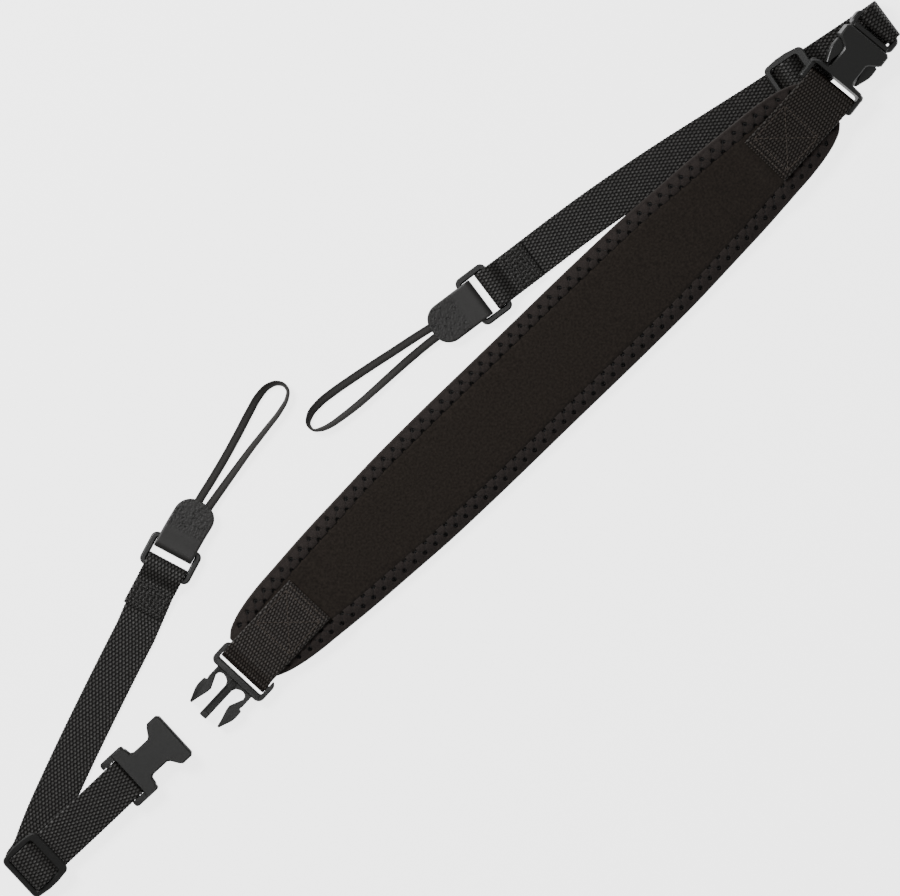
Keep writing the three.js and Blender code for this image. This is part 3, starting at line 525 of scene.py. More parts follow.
def math_node(tree, operation, *values, clamp=False):
    """The result of one operation on these values, each a number or a socket."""
    node = add_node(tree, "ShaderNodeMath", operation=operation, use_clamp=clamp)
    for value, socket in zip(values, node.inputs):
        if isinstance(value, (int, float)):
            socket.default_value = value
        else:
            link(tree, value, socket)
    return node.outputs[0]


def cloth_material(name, pitch_mm):
    # Polyester tape, folded over the edge: a fine crosswise rib, and two rows of needle holes,
    # darkened with painted shade
    colour = sizes().cloth_colour
    material, tree, shader = new_material(name, colour, 0.85, 0.08, 0.15)
    place, u, v = flat_place(tree)
    holes = []
    for start, inset in ((0, OUTER_ROW), (pitch_mm / 2, INNER_ROW)):
        along = math_node(tree, "PINGPONG", math_node(tree, "ADD", u, start), pitch_mm / 2)
        inward = math_node(tree, "SUBTRACT", v, sizes().binding_width - inset)
        squares = math_node(tree, "MULTIPLY", inward, inward)
        squares = math_node(tree, "MULTIPLY_ADD", along, along, squares)
        faded = math_node(tree, "MULTIPLY", squares, 1.1)
        holes.append(math_node(tree, "SUBTRACT", 1.8, faded, clamp=True))
    fuzz = grain(tree, 0.45, 5)
    height = math_node(tree, "MULTIPLY_ADD", wave(tree, place, "X", 0.9), 0.3, fuzz)
    plain = math_node(tree, "MULTIPLY", fuzz, 1.3)
    # Random grain, with painted shade darkening the needle holes in the colour
    tone = math_node(tree, "SUBTRACT", plain, math_node(tree, "MAXIMUM", *holes), clamp=True)
    shade(tree, shader, tone, colour, 0.05, 1.7)
    add_bump(tree, shader, height, 0.2, 0.6)
    return material


def swing(tree, value, operation, pitch_mm):
    """Size of the sine or cosine of a length in millimetres, with a crest in every pitch."""
    angle = math_node(tree, "MULTIPLY", value, math.pi / pitch_mm)
    return math_node(tree, "ABSOLUTE", math_node(tree, operation, angle))


def webbing_material(name, colour, weave):
    # Woven polypropylene: each yarn shines where it crosses over its neighbour, with real gloss
    # there and a painted highlight in its colour, and painted shade between the yarns
    material, tree, shader = new_material(name, colour, 0.5, 0, 0.35)
    row_mm, column_mm, ridge = weave
    _, u, v = flat_place(tree)
    crossings = []
    for operation in ("SINE", "COSINE"):
        beside = math_node(tree, "POWER", swing(tree, v, operation, column_mm), ridge)
        crossings.append(math_node(tree, "MULTIPLY", swing(tree, u, operation, row_mm), beside))
    yarn = math_node(tree, "POWER", math_node(tree, "MAXIMUM", *crossings), 4)
    fuzz = grain(tree, 0.7, 4)
    # Painted light: the crossing yarns are painted up to 13 times brighter as a highlight, and the
    # gaps between them are painted down to half as shade
    tone = math_node(tree, "MULTIPLY", yarn, math_node(tree, "POWER", fuzz, 2))
    shade(tree, shader, tone, colour, 0.5, 13)
    add_bump(tree, shader, fuzz, 0.25, 0.8)
    gloss = math_node(tree, "MULTIPLY", yarn, 0.8)
    link(tree, gloss, shader.inputs["Specular IOR Level"])
    return material


def plastic_material(name):
    # Injection-moulded acetal with a fine matt texture
    material, tree, shader = new_material(name, sizes().plastic_colour, 0.36)
    add_bump(tree, shader, grain(tree, 0.5, 2), 0.05, 0.3)
    return material


def leather_material(name):
    # Split leather, dyed black: smooth round the ring, pressed and pitted at its rounded end, with
    # painted shade darkening the pits
    colour = sizes().leather_colour
    material, tree, shader = new_material(name, colour, 0.5)
    _, u, _ = flat_place(tree)
    pressed_end = math_node(tree, "MULTIPLY", math_node(tree, "ADD", u, 18), 0.3, clamp=True)
    cells = add_node(tree, "ShaderNodeTexVoronoi", Scale=1000 / 1.1)
    place = add_node(tree, "ShaderNodeTexCoord")
    link(tree, place.outputs["Object"], cells.inputs["Vector"])
    pits_and_pit_shade = math_node(tree, "SUBTRACT", grain(tree, 1.3, 3), 0.55)
    pits_and_pit_shade = math_node(tree, "MULTIPLY", math_node(tree, "MULTIPLY", pits_and_pit_shade, 9, clamp=True), pressed_end)
    # Painted shade: the pits at the rounded end are darkened to a fifth of the colour
    shade(tree, shader, pits_and_pit_shade, colour, 1, 0.2)
    height = math_node(tree, "SUBTRACT", cells.outputs["Distance"], pits_and_pit_shade)
    add_bump(tree, shader, math_node(tree, "MULTIPLY", height, pressed_end), 0.25, 0.7)
    return material


def cord_material(name):
    # Flat braided polyester cord: ribs along it, crossed by a fine plait, with a painted highlight
    # on their crests and painted shade in the grooves
    colour = sizes().cord_colour
    material, tree, shader = new_material(name, colour, 0.75, 0.05, 0.15)
    place, _, _ = flat_place(tree)
    plait = math_node(tree, "MULTIPLY", wave(tree, place, "DIAGONAL", 0.7), 0.35)
    height = math_node(tree, "ADD", wave(tree, place, "Y", 1.66), plait)
    # Painted light: the colour follows the relief, lighter on the crests of the ribs and plait and
    # darker in the grooves
    tone = math_node(tree, "MULTIPLY", height, 0.74)
    shade(tree, shader, tone, colour, 1.05, 2.4)
    add_bump(tree, shader, height, 0.12, 0.6)
    return material


def thread_material(name, colour):
    # Spun polyester sewing thread
    return new_material(name, colour, 0.6)[0]


def shared(name, make, *values):
    """One material of this name, made the first time it is asked for."""
    return bpy.data.materials.get(name) or make(name, *values)


# Pad


PAD_PLACES = [place for place, width in PAD_OUTLINE]
PAD_WIDTHS = [width for place, width in PAD_OUTLINE]
PAD_SLOPES = curve_slopes(PAD_WIDTHS, PAD_PLACES)


def half_pad():
    return sizes().pad_length / 2


def pad_half_width(x):
    share = min(abs(x) / half_pad(), 1)
    return curve_at(PAD_WIDTHS, PAD_SLOPES, PAD_PLACES, share)[2] * sizes().pad_width / 2


def pad_top(x, y):
    away = min(abs(y) / pad_half_width(x), 1)
    crown = mix(sizes().pad_crown, PAD_END_CROWN, smooth((abs(x) / half_pad() - 0.6) / 0.4))
    return sizes().pad_edge + crown * (1 - away**4)


def risen(x):
    """Share of its full rise that the pad has reached on its way to the closed end."""
    start = half_pad() * RISE_START
    return smooth((x - start) / (half_pad() - RISE_STOP - start))


def lift(x, y):
    """Height of the pad's underside: each end lies on its tab, and the closed end is raised."""
    closed_end = max(RISE + RISE_LEAN * (y - RISE_Y), 0)
    on_tab = smooth((abs(x) - half_pad() + TAB_REACH) / TAB_RAMP)
    return risen(x) * closed_end + on_tab * (sizes().tab_thickness + GAP)


def pad_cover():
    """The suede, tucked down where the binding holds it, over slightly uneven foam."""
    rows, columns = 300, 44
    around = 2 * columns + 2
    inset, tuck, unevenness = 1.3, 1.4, 0.22
    long = half_pad() - inset

    def under_binding(x, y):
        seam = sizes().binding_width - 0.1
        from_sides = smooth((abs(y) - pad_half_width(x) + seam) / 0.9)
        from_ends = smooth((abs(x) - half_pad() + seam) / 0.9)
        return max(from_sides, from_ends)

    def point(k, j):
        x = mix(-long, long, k / rows)
        half = pad_half_width(x) - inset
        top = j <= columns
        y = mix(-half, half, (j if top else around - 1 - j) / columns)
        held = under_binding(x, y)
        z = held * tuck
        if top:
            soft = noise.noise(Vector((x / 34, y / 22, 0))) * unevenness
            z = pad_top(x, y) - z + soft * (1 - held)
        return Vector((x, y, z + lift(x, y)))

    bm = tube(rows, around, point, lambda k, j: (k, j))
    suede = shared("suede_brushed", suede_material)
    return finished("pad_cover", bm, suede, "pad_core")


class Edge:
    """The pad's outline, as places along it (in millimetres) and distances in from it."""

    # Places on each long side and end, how far in their distances apart are measured, and the
    # share of the half-length within which they stay put at every distance in
    STEPS = 860
    END_STEPS = 40
    MIDDLE = 5.2
    EVEN = 0.943

    def __init__(self):
        middle = self.ring(self.MIDDLE)
        self.rows = {inset: self.ring(inset) for inset in (OUTER_ROW, INNER_ROW)}
        self.lengths = running(math.dist(a, b) for a, b in looped(middle))
        self.total = self.lengths[-1]

    def ring(self, inset):
        """Points round the outline at this distance in."""
        even = self.EVEN * half_pad()
        long = half_pad() - inset
        squeeze = (long - even) / (half_pad() - even)
        points = []
        for i in range(self.STEPS):
            x = mix(-half_pad(), half_pad(), i / self.STEPS)
            beyond = abs(x) - even
            if beyond > 0:
                x = math.copysign(even + beyond * squeeze, x)
            points.append((x, inset - pad_half_width(x)))
        end = pad_half_width(long) - inset
        points += [(long, mix(-end, end, i / self.END_STEPS)) for i in range(self.END_STEPS)]
        return points + [(-x, -y) for x, y in points]

    def spot(self, s, inset):
        """x and y of a place along one of the two stitched rows."""
        s %= self.total
        k = next(i for i, value in enumerate(self.lengths[1:]) if value >= s)
        share = (s - self.lengths[k]) / max(self.lengths[k + 1] - self.lengths[k], 1e-6)
        ring = self.rows[inset]
        a, b = ring[k], ring[(k + 1) % len(ring)]
        return mix(a[0], b[0], share), mix(a[1], b[1], share)


def pad_binding():
    """The tape folded over the pad's edge, and the zigzag thread that holds it."""
    edge = Edge()
    wide = sizes().binding_width
    pitch = edge.total / round(edge.total / sizes().stitch_pitch)
    # Across the tape: distance in from the edge, the face, and the height on the rounded edge
    section = [(mix(wide, 1.0, i / 20), "top", 0) for i in range(21)]
    for angle in (20, 45, 70, 90, 110, 135, 160):
        section.append((1 - math.sin(angle * DEG), "edge", math.cos(angle * DEG)))
    section += [(d, "under", 0) for d in (1.0, 3.0, 5.0, wide)]
    section += [(d, "in_low", 0) for d in (wide, 1.0)] + [(d, "in_high", 0) for d in (1.0, wide)]
    rings = {d: edge.ring(d) for d in {row[0] for row in section}}
    count = len(next(iter(rings.values())))

    def dimple(s, d):
        """Depth of the needle holes, and of the zigzag groove that the thread pulls in."""
        near = min(s % pitch, pitch - s % pitch)
        far = pitch / 2 - near
        hole, hole_depth, groove_depth = 0.75, 0.95, 0.35
        outer = bump(near, hole) * bump(d - OUTER_ROW, hole)
        inner = bump(far, hole) * bump(d - INNER_ROW, hole)
        line = mix(OUTER_ROW, INNER_ROW, near / (pitch / 2))
        return hole_depth * (outer + inner) + groove_depth * bump(d - line, 0.8)

    def point(k, j):
        d, kind, rise = section[j]
        x, y = rings[d][k]
        top = pad_top(x, y)
        if kind == "top":
            share = min(max((d - OUTER_ROW + 1) / (INNER_ROW - OUTER_ROW + 2), 0), 1)
            pillow = 0.55 * math.sin(math.pi * share)
            lip = 0.12 * smooth((d - INNER_ROW) / 0.7)
            z = top + pillow - lip - dimple(edge.lengths[k], d)
        elif kind == "edge":
            z = top / 2 + top / 2 * rise
        else:
            z = {"under": 0, "in_low": 1, "in_high": top - 1.05}[kind]
        return Vector((x, y, z + lift(x, y)))

    spread = running(max(abs(a[0] - b[0]), 0.4) for a, b in looped(section))

    def flat(k, j):
        return edge.lengths[k], spread[j]

    bm = tube(count, len(section), point, flat, closed=True)
    cloth = shared("polyester_tape", cloth_material, pitch)
    finished("binding_tape", bm, cloth, "pad_binding")

    threads = bmesh.new()
    for i in range(round(edge.total / pitch)):
        ends = []
        for share, inset in ((0, OUTER_ROW), (0.5, INNER_ROW), (1, OUTER_ROW)):
            x, y = edge.spot((i + share) * pitch, inset)
            ends.append(Vector((x, y, pad_top(x, y) + lift(x, y) - 0.1)))
        if abs(ends[1].x) > half_pad() - 3:
            continue
        for a, b in zip(ends, ends[1:]):
            crest = (a + b) / 2 + Vector((0, 0, 0.35))
            rod(threads, a, crest, 0.15)
            rod(threads, crest, b, 0.15)
    thread = shared("thread_dark", thread_material, scaled(sizes().cloth_colour, 0.1))
    finished("binding_stitches", threads, thread, None)


# Straps


def bar_wrap(thickness):
    """Radius of the middle line of a strap this thick round a buckle's bar."""
    return BUCKLE_BAR / 2 + GAP + thickness / 2


def layer():
    return sizes().strap_thickness + GAP


def floor_run():
    return sizes().strap_thickness / 2


def inner_wrap():
    return SLIDER_BAR / 2 + GAP + sizes().strap_thickness / 2


def outer_wrap():
    return inner_wrap() + layer()


def ring_height():
    return RING_BAR / 2 + GAP + sizes().leather_thickness


def sewn_loop(place, bar):
    """The strap's own end, round a slider's middle bar and sewn to itself."""
    low = bar - inner_wrap()
    top = bar + inner_wrap()
    half = SLIDER_BAR_LENGTH / 2
    return [
        shifted(place, SEWN_TAIL, low),
        *turn(shifted(place, -half * 0.8, bar), inner_wrap(), -90, -270),
        shifted(place, half, top),
        shifted(place, half * 2.9, (top + low + layer()) / 2 + 0.25),
        shifted(place, half * 4.8, low + layer()),
        shifted(place, SEWN_TAIL, low + layer()),
    ]


def over_slider(place, bar):
    """The strap on its way back, up over its sewn end."""
    low = bar - inner_wrap() + layer() * 2
    top = bar + outer_wrap()
    half = SLIDER_BAR_LENGTH / 2
    return [
        shifted(place, SEWN_TAIL + 3, low),
        shifted(place, half * 5.4, low),
        shifted(place, half * 3.5, (top + low) / 2 + 0.2),
        shifted(place, half * 1.6, top),
    ]


def long_run(route, steps):
    """Stations along a route on the floor."""
    stations = [Station(Vector((x, y, floor_run())), yaw) for x, y, yaw in route]
    length = sum((b.point - a.point).length for a, b in zip(stations, stations[1:]))
    return resampled(stations, length / steps)


def ring_fold(place, side):
    """The strap's other end, round a ring's bar and folded back on top."""
    height = ring_height()
    loop = RING_OPENING / 2 + height
    centre = shifted(place, side * loop, height)
    wrap = height - floor_run()
    return [
        shifted(place, side * SEWN_FOLD * 0.6, floor_run()),
        shifted(place, side * (loop + 2), floor_run()),
        *half_turn(centre, wrap, side),
        shifted(place, side * RING_LENGTH / 2, height + wrap),
        shifted(place, side * (RING_LENGTH / 2 + 5.5), floor_run() + layer()),
        shifted(place, side * SEWN_FOLD, floor_run() + layer()),
    ]


def fold_stitches(place, side):
    """Rows of zigzag stitches that hold the folded end of a strap down by its ring."""
    z = floor_run() + layer() + sizes().strap_thickness / 2
    start, end, pitch, swing_mm = 15, 26.5, 1.5, 0.9
    bm = bmesh.new()
    count = round((end - start) / pitch * 2)
    for row in range(8):
        middle = mix(-7.7, 7.7, row / 7)
        spots = []
        for i in range(count + 1):
            here = shifted(place, side * mix(start, end, i / count), z).point
            off = middle + (swing_mm if i % 2 else -swing_mm) + 0.25 * math.sin(3.1 * row + 1.7 * i)
            spots.append(here + across(place[2]) * off)
        for a, b in zip(spots, spots[1:]):
            rod(bm, a, b, 0.2, segments=5)
    return bm


def webbing_left():
    """From its end sewn round the slider to the buckle, back, and along the floor to the ring."""
    bar = floor_run() + outer_wrap()
    low = bar - inner_wrap() + layer()
    buckle_bar = Station(along_buckle(FEMALE_LEFT, FEMALE_STRAP_BAR), SLIDER_LEFT[2])
    wrap = bar_wrap(sizes().strap_thickness)
    outside = shifted(SLIDER_LEFT, -SLIDER_BAR_LENGTH * 1.68, bar)
    run = {"yaw": RUN_LEFT[0][2], "y": outside.point.y + 3.2}
    halfway = 30
    return [
        *sewn_loop(SLIDER_LEFT, bar),
        shifted(SLIDER_LEFT, halfway, low - 0.6),
        *turn(buckle_bar, wrap, -90, 90),
        shifted(SLIDER_LEFT, halfway, low + layer() + 0.4),
        *over_slider(SLIDER_LEFT, bar),
        *turn(outside, outer_wrap(), 90, 180, steps=5),
        *turn(outside, outer_wrap(), 186, 270, steps=7, **run),
        *long_run(RUN_LEFT, 14),
        *ring_fold(RING_LEFT, -1),
    ]


def webbing_right():
    """The same, with the closed buckle folded back over the pad's end."""
    bar = floor_run() + inner_wrap()
    wrap = bar_wrap(sizes().strap_thickness)
    fold_x = half_pad() + CLOSED_FOLD
    to_fold = (fold_x - SLIDER_RIGHT[0]) / direction(SLIDER_RIGHT[2]).x
    point = along_buckle(CLOSED_RIGHT, MALE_STRAP_BAR)
    roll = -CLOSED_RIGHT["roll"]
    top = point.z + wrap
    inner_low = floor_run() + layer()
    outer = (top - floor_run()) / 2
    inner = (point.z - wrap - inner_low) / 2
    fold_y = 8.2
    side = {"yaw": -7, "roll": roll * 0.4}
    crest = {"yaw": 2, "roll": roll * 0.8}
    start = shifted(SLIDER_RIGHT, to_fold, floor_run() + outer)
    beside = Station(Vector((start.point.x, fold_y, start.point.z)), **side)
    inside = Vector((fold_x + 0.4, fold_y, inner_low + inner))
    return [
        *sewn_loop(SLIDER_RIGHT, bar),
        shifted(SLIDER_RIGHT, SEWN_TAIL + 4.5, floor_run()),
        *turn(start, outer, -90, 0, y=fold_y, steps=8, **side),
        *turn(beside, outer, 10, 90, y=fold_y, steps=8, **crest),
        *turn(Station(point, CLOSED_RIGHT["yaw"] - 180, roll), wrap, 90, 270),
        *turn(Station(inside, **crest), inner, 90, 18, steps=4, **side),
        *turn(Station(inside, **side), inner, 0, -90, yaw=SLIDER_RIGHT[2], roll=0, steps=4),
        shifted(SLIDER_RIGHT, SEWN_TAIL + 8, inner_low),
        *over_slider(SLIDER_RIGHT, bar),
        shifted(SLIDER_RIGHT, -2.2, bar + outer_wrap() - 0.3),
        shifted(SLIDER_RIGHT, -7.8, floor_run() + 0.2),
        shifted(SLIDER_RIGHT, -9, floor_run()),
        *long_run(RUN_RIGHT, 16),
        *ring_fold(RING_RIGHT, 1),
    ]


def tab_stations(start, side, bar, yaw, roll):
    """A tab from under the pad's end, round a buckle's bar, to its sewn end on top."""
    x0, y0, start_yaw = start
    thick = sizes().tab_thickness

    def on_pad(x, above):
        y = y0 + side * (abs(x) - abs(x0)) * math.sin(start_yaw * DEG)
        lean = math.atan(RISE_LEAN * risen(x)) / DEG
        off = GAP + thick / 2
        z = lift(x, y) + (pad_top(x, y) + off if above else -off)
        return Station(Vector((x, y, z)), start_yaw, lean)

    end = half_pad() + GAP
    shares = [i / 10 for i in range(11)]
    upper = [side * mix(abs(x0), end, share) for share in shares]
    lower = [side * mix(abs(x0) + 4, end, share) for share in shares]
    return [
        *[on_pad(x, False) for x in lower],
        *half_turn(Station(bar, yaw, roll), bar_wrap(thick), -side),
        *[on_pad(x, True) for x in reversed(upper)],
    ]


def stitch_line(bm, a, b):
    """Stitches along the straight line between two places."""
    pitch, stitch = 2.4, 1.7
    count = round((b - a).length / pitch)
    for i in range(count):
        start = a.lerp(b, i / count)
        rod(bm, start, start + (b - a).normalized() * stitch, 0.24)


def tab_stitches(start, side):
    """A line along the tab's end, and a box with a cross in it, sewn down onto the pad."""
    x0, y0, yaw = start
    above = GAP + sizes().tab_thickness + 0.02
    bm = bmesh.new()

    def spot(along, off):
        d = direction(yaw)
        place = Vector((x0, y0, 0)) + side * along * d + off * across(yaw)
        place.z = lift(place.x, place.y) + pad_top(place.x, place.y) + above
        return place

    near, far, wide = 4.5, 25, 10.6
    for along_a, off_a, along_b, off_b in (
        (1.8, -11.4, 1.8, 11.4), (near, -wide, near, wide), (far, -wide, far, wide),
        (near, -wide, far, -wide), (near, wide, far, wide),
        (near, -wide, far, wide), (near, wide, far, -wide),
    ):
        stitch_line(bm, spot(along_a, off_a), spot(along_b, off_b))
    return bm


# Leather


def leather_stations(place, side, bend_yaw):
    """Two layers of leather round a ring's bar, with room for the cord between them."""
    thick = sizes().leather_thickness
    width = sizes().leather_width
    corner = 8
    height = ring_height()
    start = RING_OPENING / 2
    tip = start + 28
    low = thick / 2
    high = low + thick + GAP * 2 + sizes().cord_thickness
    wrap = height - low
    loop = start + wrap + low

    def half_at(from_tip):
        short = corner - min(from_tip, corner)
        return width / 2 - corner + math.sqrt(corner**2 - short**2)

    def flat_layer(z, clear):
        stations = []
        places = [(i / 14) ** 2 * corner for i in range(15)]
        places += [mix(corner, tip - loop - clear, i / 6) for i in range(1, 7)]
        for from_tip in places:
            along = tip - from_tip
            yaw = place[2] + bend_yaw * smooth((along - loop) / (tip - loop))
            here = shifted((place[0], place[1], yaw), side * along, z)
            stations.append(here._replace(half=half_at(from_tip)))
        return stations

    centre = shifted(place, side * loop, height)
    half = width / 2
    return [
        *flat_layer(low, 5),
        *[s._replace(half=half) for s in half_turn(centre, wrap, side)],
        shifted(place, side * (loop + 1.5), height + wrap - 0.05)._replace(half=half),
        *reversed(flat_layer(high, 9)),
    ]


# Cords


CORD_STEP = 0.5


def cord_rows(route):
    """Even stations along a cord, with its heading as the yaw."""
    stations = [Station(Vector((x, y, z)), 0, lean) for x, y, z, lean in route]
    rows = resampled(stations, CORD_STEP)
    turned = []
    yaw = None
    for k, row in enumerate(rows):
        ahead = heading(rows, k)
        angle = math.atan2(ahead.y, ahead.x) / DEG
        yaw = angle if yaw is None else yaw + (angle - yaw + 180) % 360 - 180
        turned.append(row._replace(yaw=yaw))
    return turned


def make_cord(name, node, route):
    """A flat cord with two grooves along each face."""
    rows = cord_rows(route)
    wide = sizes().cord_width / 2
    thick = sizes().cord_thickness / 2
    around = 20
    groove_depth, groove_place, groove_width = 0.16, 0.33, 0.12

    def point(k, j):
        side = across(rows[k].yaw, rows[k].roll)
        up = heading(rows, k).normalized().cross(side)
        angle = j / around * 2 * math.pi
        a = math.copysign(abs(math.cos(angle)) ** 0.55, math.cos(angle))
        b = math.copysign(abs(math.sin(angle)) ** 0.8, math.sin(angle))
        groove = 1 - groove_depth * bump(abs(a) - groove_place, groove_width)
        return rows[k].point + side * wide * a + up * thick * b * groove

    bm = tube(len(rows) - 1, around, point, lambda k, j: (CORD_STEP * k, 10 * j / around))
    piece = finished(name, bm, shared("polyester_braid", cord_material), node)
    path = [tuple(row.point * 0.001) for row in rows]
    length = sum(math.dist(a, b) for a, b in zip(path, path[1:]))
    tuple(path[0])


# Hard pieces


# How far their skin lies outside the solid, at the sides and above, and how round its edges are
SKIN = 0.12
SNUG_SKIN = 0.25
SKIN_ABOVE = 0.08
ROUNDING = 0.45


def moulded(node, material, swell):
    """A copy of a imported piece, its skin a little further out and its edges rounded over."""
    bm = bmesh.new()
    bm.from_mesh(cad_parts[node].data)
    bmesh.ops.transform(bm, matrix=Matrix.Scale(1000, 4), verts=bm.verts)
    bmesh.ops.remove_doubles(bm, verts=bm.verts, dist=1e-3)
    bm.normal_update()
    for vert in bm.verts:
        normal = vert.normal
        vert.co += Vector((normal.x * swell, normal.y * swell, normal.z * SKIN_ABOVE))
    bmesh.ops.dissolve_limit(bm, angle_limit=3 * DEG, verts=bm.verts, edges=bm.edges)
    piece = finished(node + "_moulded", bm, material, node, flat_angle=35)
    bevel = piece.modifiers.new("rounded", "BEVEL")
    bevel.width = ROUNDING / 1000
    bevel.segments = 3
    bevel.limit_method = "ANGLE"
    bevel.angle_limit = 30 * DEG
    bevel.harden_normals = True


# Operators: one for each kind of piece, and one for the stage


class NECK_STRAP_OT_camera(bpy.types.Operator):
    """Add the camera, straight above the strap"""

    bl_idname = "neck_strap.camera"
    bl_label = "Camera"

    def execute(self, context):
        data = bpy.data.cameras.new("camera")
        data.lens = 200
        data.sensor_width = 36
        camera = bpy.data.objects.new("camera", data)
        view_width = 0.4167
        distance = view_width * data.lens / data.sensor_width
        camera.location = (-0.0498, 0.0049, 0.004 + distance)
        camera.rotation_euler = (0, 0, -44 * DEG)
        context.scene.collection.objects.link(camera)
        context.scene.camera = camera
        return {"FINISHED"}


class NECK_STRAP_OT_cords(bpy.types.Operator):
    """Add the two cord loops"""

    bl_idname = "neck_strap.cords"
    bl_label = "Cord loops"

    def execute(self, context):
        make_cord("cord_left", "cord_loop_left", CORD_LEFT)
        make_cord("cord_right", "cord_loop_right", CORD_RIGHT)
        return {"FINISHED"}


class NECK_STRAP_OT_pad(bpy.types.Operator):
    """Add the pad's cover and its stitched binding"""

    bl_idname = "neck_strap.pad"
    bl_label = "Pad"

    def execute(self, context):
        pad_cover()
        pad_binding()
        return {"FINISHED"}


class NECK_STRAP_OT_tabs(bpy.types.Operator):
    """Add the two webbing tabs at the pad's ends"""

    bl_idname = "neck_strap.tabs"
    bl_label = "Webbing tabs"

    def execute(self, context):
        colour = sizes().tab_colour
        material = shared("webbing_ribbed", webbing_material, colour, TAB_WEAVE)
        thread = shared("thread_spun", thread_material, scaled(colour, 7))
        left = along_buckle(MALE_LEFT, MALE_TAB_BAR)
        right = along_buckle(CLOSED_RIGHT, FEMALE_TAB_BAR)
        for name, start, side, bar, yaw, lean in (
            ("left", TAB_LEFT, -1, left, MALE_LEFT["yaw"] - 180, 0),
            ("right", TAB_RIGHT, 1, right, CLOSED_RIGHT["yaw"] - 180, -CLOSED_RIGHT["roll"]),
        ):
            stations = tab_stations(start, side, bar, yaw, lean)
            width, thickness = sizes().tab_width, sizes().tab_thickness
            bm = flat_strap(stations, width, thickness, 0.42, 72, TAB_WEAVE)
            finished("tab_webbing_" + name, bm, material, "tab_" + name)
            bm = tab_stitches(start, side)
            finished(f"tab_webbing_{name}_stitches", bm, thread, None)
        return {"FINISHED"}


class NECK_STRAP_OT_straps(bpy.types.Operator):
    """Add the two connector straps"""

    bl_idname = "neck_strap.straps"
    bl_label = "Connector straps"

    def execute(self, context):
        colour = sizes().webbing_colour
        material = shared("webbing_basket", webbing_material, colour, STRAP_WEAVE)
        width, thickness = sizes().strap_width, sizes().strap_thickness
        for node, route in (("webbing_left", webbing_left), ("webbing_right", webbing_right)):
            bm = flat_strap(route(), width, thickness, 0.45, 54, STRAP_WEAVE)
            finished("strap_" + node, bm, material, node)
        thread = shared("thread_black", thread_material, scaled(colour, 2.2))
        for name, place, side in (("left", RING_LEFT, -1), ("right", RING_RIGHT, 1)):
            bm = fold_stitches(place, side)
            finished("fold_stitches_" + name, bm, thread, None)
        return {"FINISHED"}


class NECK_STRAP_OT_leather(bpy.types.Operator):
    """Add the two leather tabs"""

    bl_idname = "neck_strap.leather"
    bl_label = "Leather tabs"

    def execute(self, context):
        material = shared("leather_dyed", leather_material)
        for name, place, side, bend in (("left", RING_LEFT, 1, -2), ("right", RING_RIGHT, -1, 0)):
            stations = leather_stations(place, side, bend)
            bm = flat_strap(stations, sizes().leather_width, sizes().leather_thickness, 0.4, 24)
            finished("leather_" + name, bm, material, "leather_tab_" + name)
        return {"FINISHED"}


class NECK_STRAP_OT_plastic(bpy.types.Operator):
    """Add the buckles, sliders and rings"""

    bl_idname = "neck_strap.plastic"
    bl_label = "Buckles, sliders and rings"

    def execute(self, context):
        material = shared("acetal_moulded", plastic_material)
        for kind in ("male_buckle", "female_buckle", "slider", "ring"):
            for side in ("left", "right"):
                node = f"{kind}_{side}"
                snug = kind == "slider" or node == "female_buckle_left"
                moulded(node, material, SNUG_SKIN if snug else SKIN)
        return {"FINISHED"}


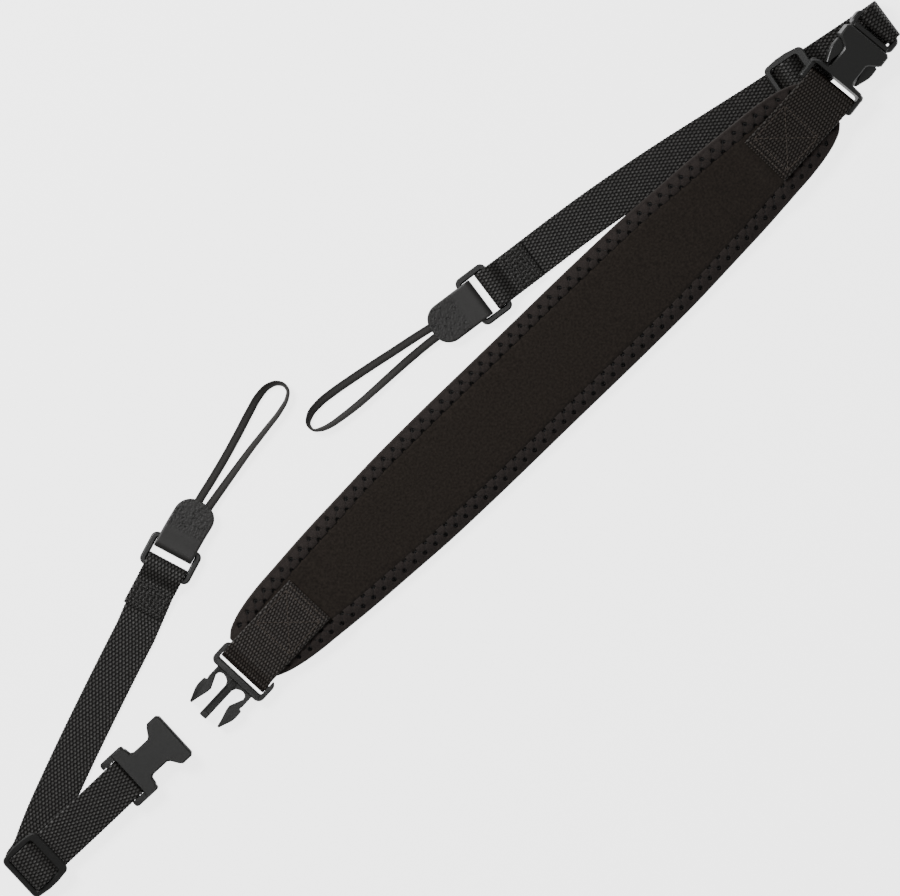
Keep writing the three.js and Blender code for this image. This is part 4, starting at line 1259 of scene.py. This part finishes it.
class NECK_STRAP_OT_stage(bpy.types.Operator):
    """Add the floor and the light"""

    bl_idname = "neck_strap.stage"
    bl_label = "Stage"

    def execute(self, context):
        bm = bmesh.new()
        bmesh.ops.create_grid(bm, x_segments=1, y_segments=1, size=3)
        mesh = bpy.data.meshes.new("floor")
        bm.to_mesh(mesh)
        bm.free()
        floor = bpy.data.objects.new("floor", mesh)
        # White opal board, lit from below
        paint, _, shader = new_material("opal_board", (0.9, 0.9, 0.9, 1), 0.9)
        shader.inputs["Emission Color"].default_value = (1, 1, 1, 1)
        seen = add_node(paint.node_tree, "ShaderNodeLightPath").outputs["Is Camera Ray"]
        glow = math_node(paint.node_tree, "MULTIPLY_ADD", seen, 2, 1)
        link(paint.node_tree, glow, shader.inputs["Emission Strength"])
        mesh.materials.append(paint)
        floor.location.z = -0.0001
        context.scene.collection.objects.link(floor)

        world = bpy.data.worlds.new("studio")
        world.use_nodes = True
        sky = world.node_tree.nodes["Background"]
        sky.inputs["Color"].default_value = (1, 1, 1, 1)
        sky.inputs["Strength"].default_value = 0.18
        context.scene.world = world
        for name, place, size, power in (
            ("key", (-0.25, 0.9, 0.85), 0.45, 15),
            ("fill", (0.6, -0.7, 1.2), 1.2, 1.5),
            ("top", (-0.15, 0.15, 2.4), 0.6, 4.5),
        ):
            data = bpy.data.lights.new(name, "AREA")
            data.size = size
            data.energy = power
            lamp = bpy.data.objects.new(name, data)
            lamp.location = place
            lamp.rotation_euler = (-Vector(place)).to_track_quat("-Z", "Y").to_euler()
            context.scene.collection.objects.link(lamp)
        return {"FINISHED"}


class NECK_STRAP_PT_panel(bpy.types.Panel):
    """The strap's sizes and its steps"""

    bl_label = "Neck strap"
    bl_space_type = "VIEW_3D"
    bl_region_type = "UI"
    bl_category = "Neck strap"

    def draw(self, context):
        column = self.layout.column()
        for name in NeckStrapSizes.__annotations__:
            column.prop(context.scene.neck_strap, name)
        for step in STEPS:
            column.operator(step.bl_idname)


STEPS = (
    NECK_STRAP_OT_camera,
    NECK_STRAP_OT_cords,
    NECK_STRAP_OT_pad,
    NECK_STRAP_OT_tabs,
    NECK_STRAP_OT_straps,
    NECK_STRAP_OT_leather,
    NECK_STRAP_OT_plastic,
    NECK_STRAP_OT_stage,
)
CLASSES = (NeckStrapSizes, *STEPS, NECK_STRAP_PT_panel)


def register():
    for item in CLASSES:
        bpy.utils.register_class(item)
    bpy.types.Scene.neck_strap = PointerProperty(type=NeckStrapSizes)


def unregister():
    del bpy.types.Scene.neck_strap
    for item in reversed(CLASSES):
        bpy.utils.unregister_class(item)


def main():
    register()
    bpy.ops.neck_strap.camera()
    bpy.ops.neck_strap.cords()
    bpy.ops.neck_strap.pad()
    bpy.ops.neck_strap.tabs()
    bpy.ops.neck_strap.straps()
    bpy.ops.neck_strap.leather()
    bpy.ops.neck_strap.plastic()
    bpy.ops.neck_strap.stage()


if __name__ == "__main__":
    main()
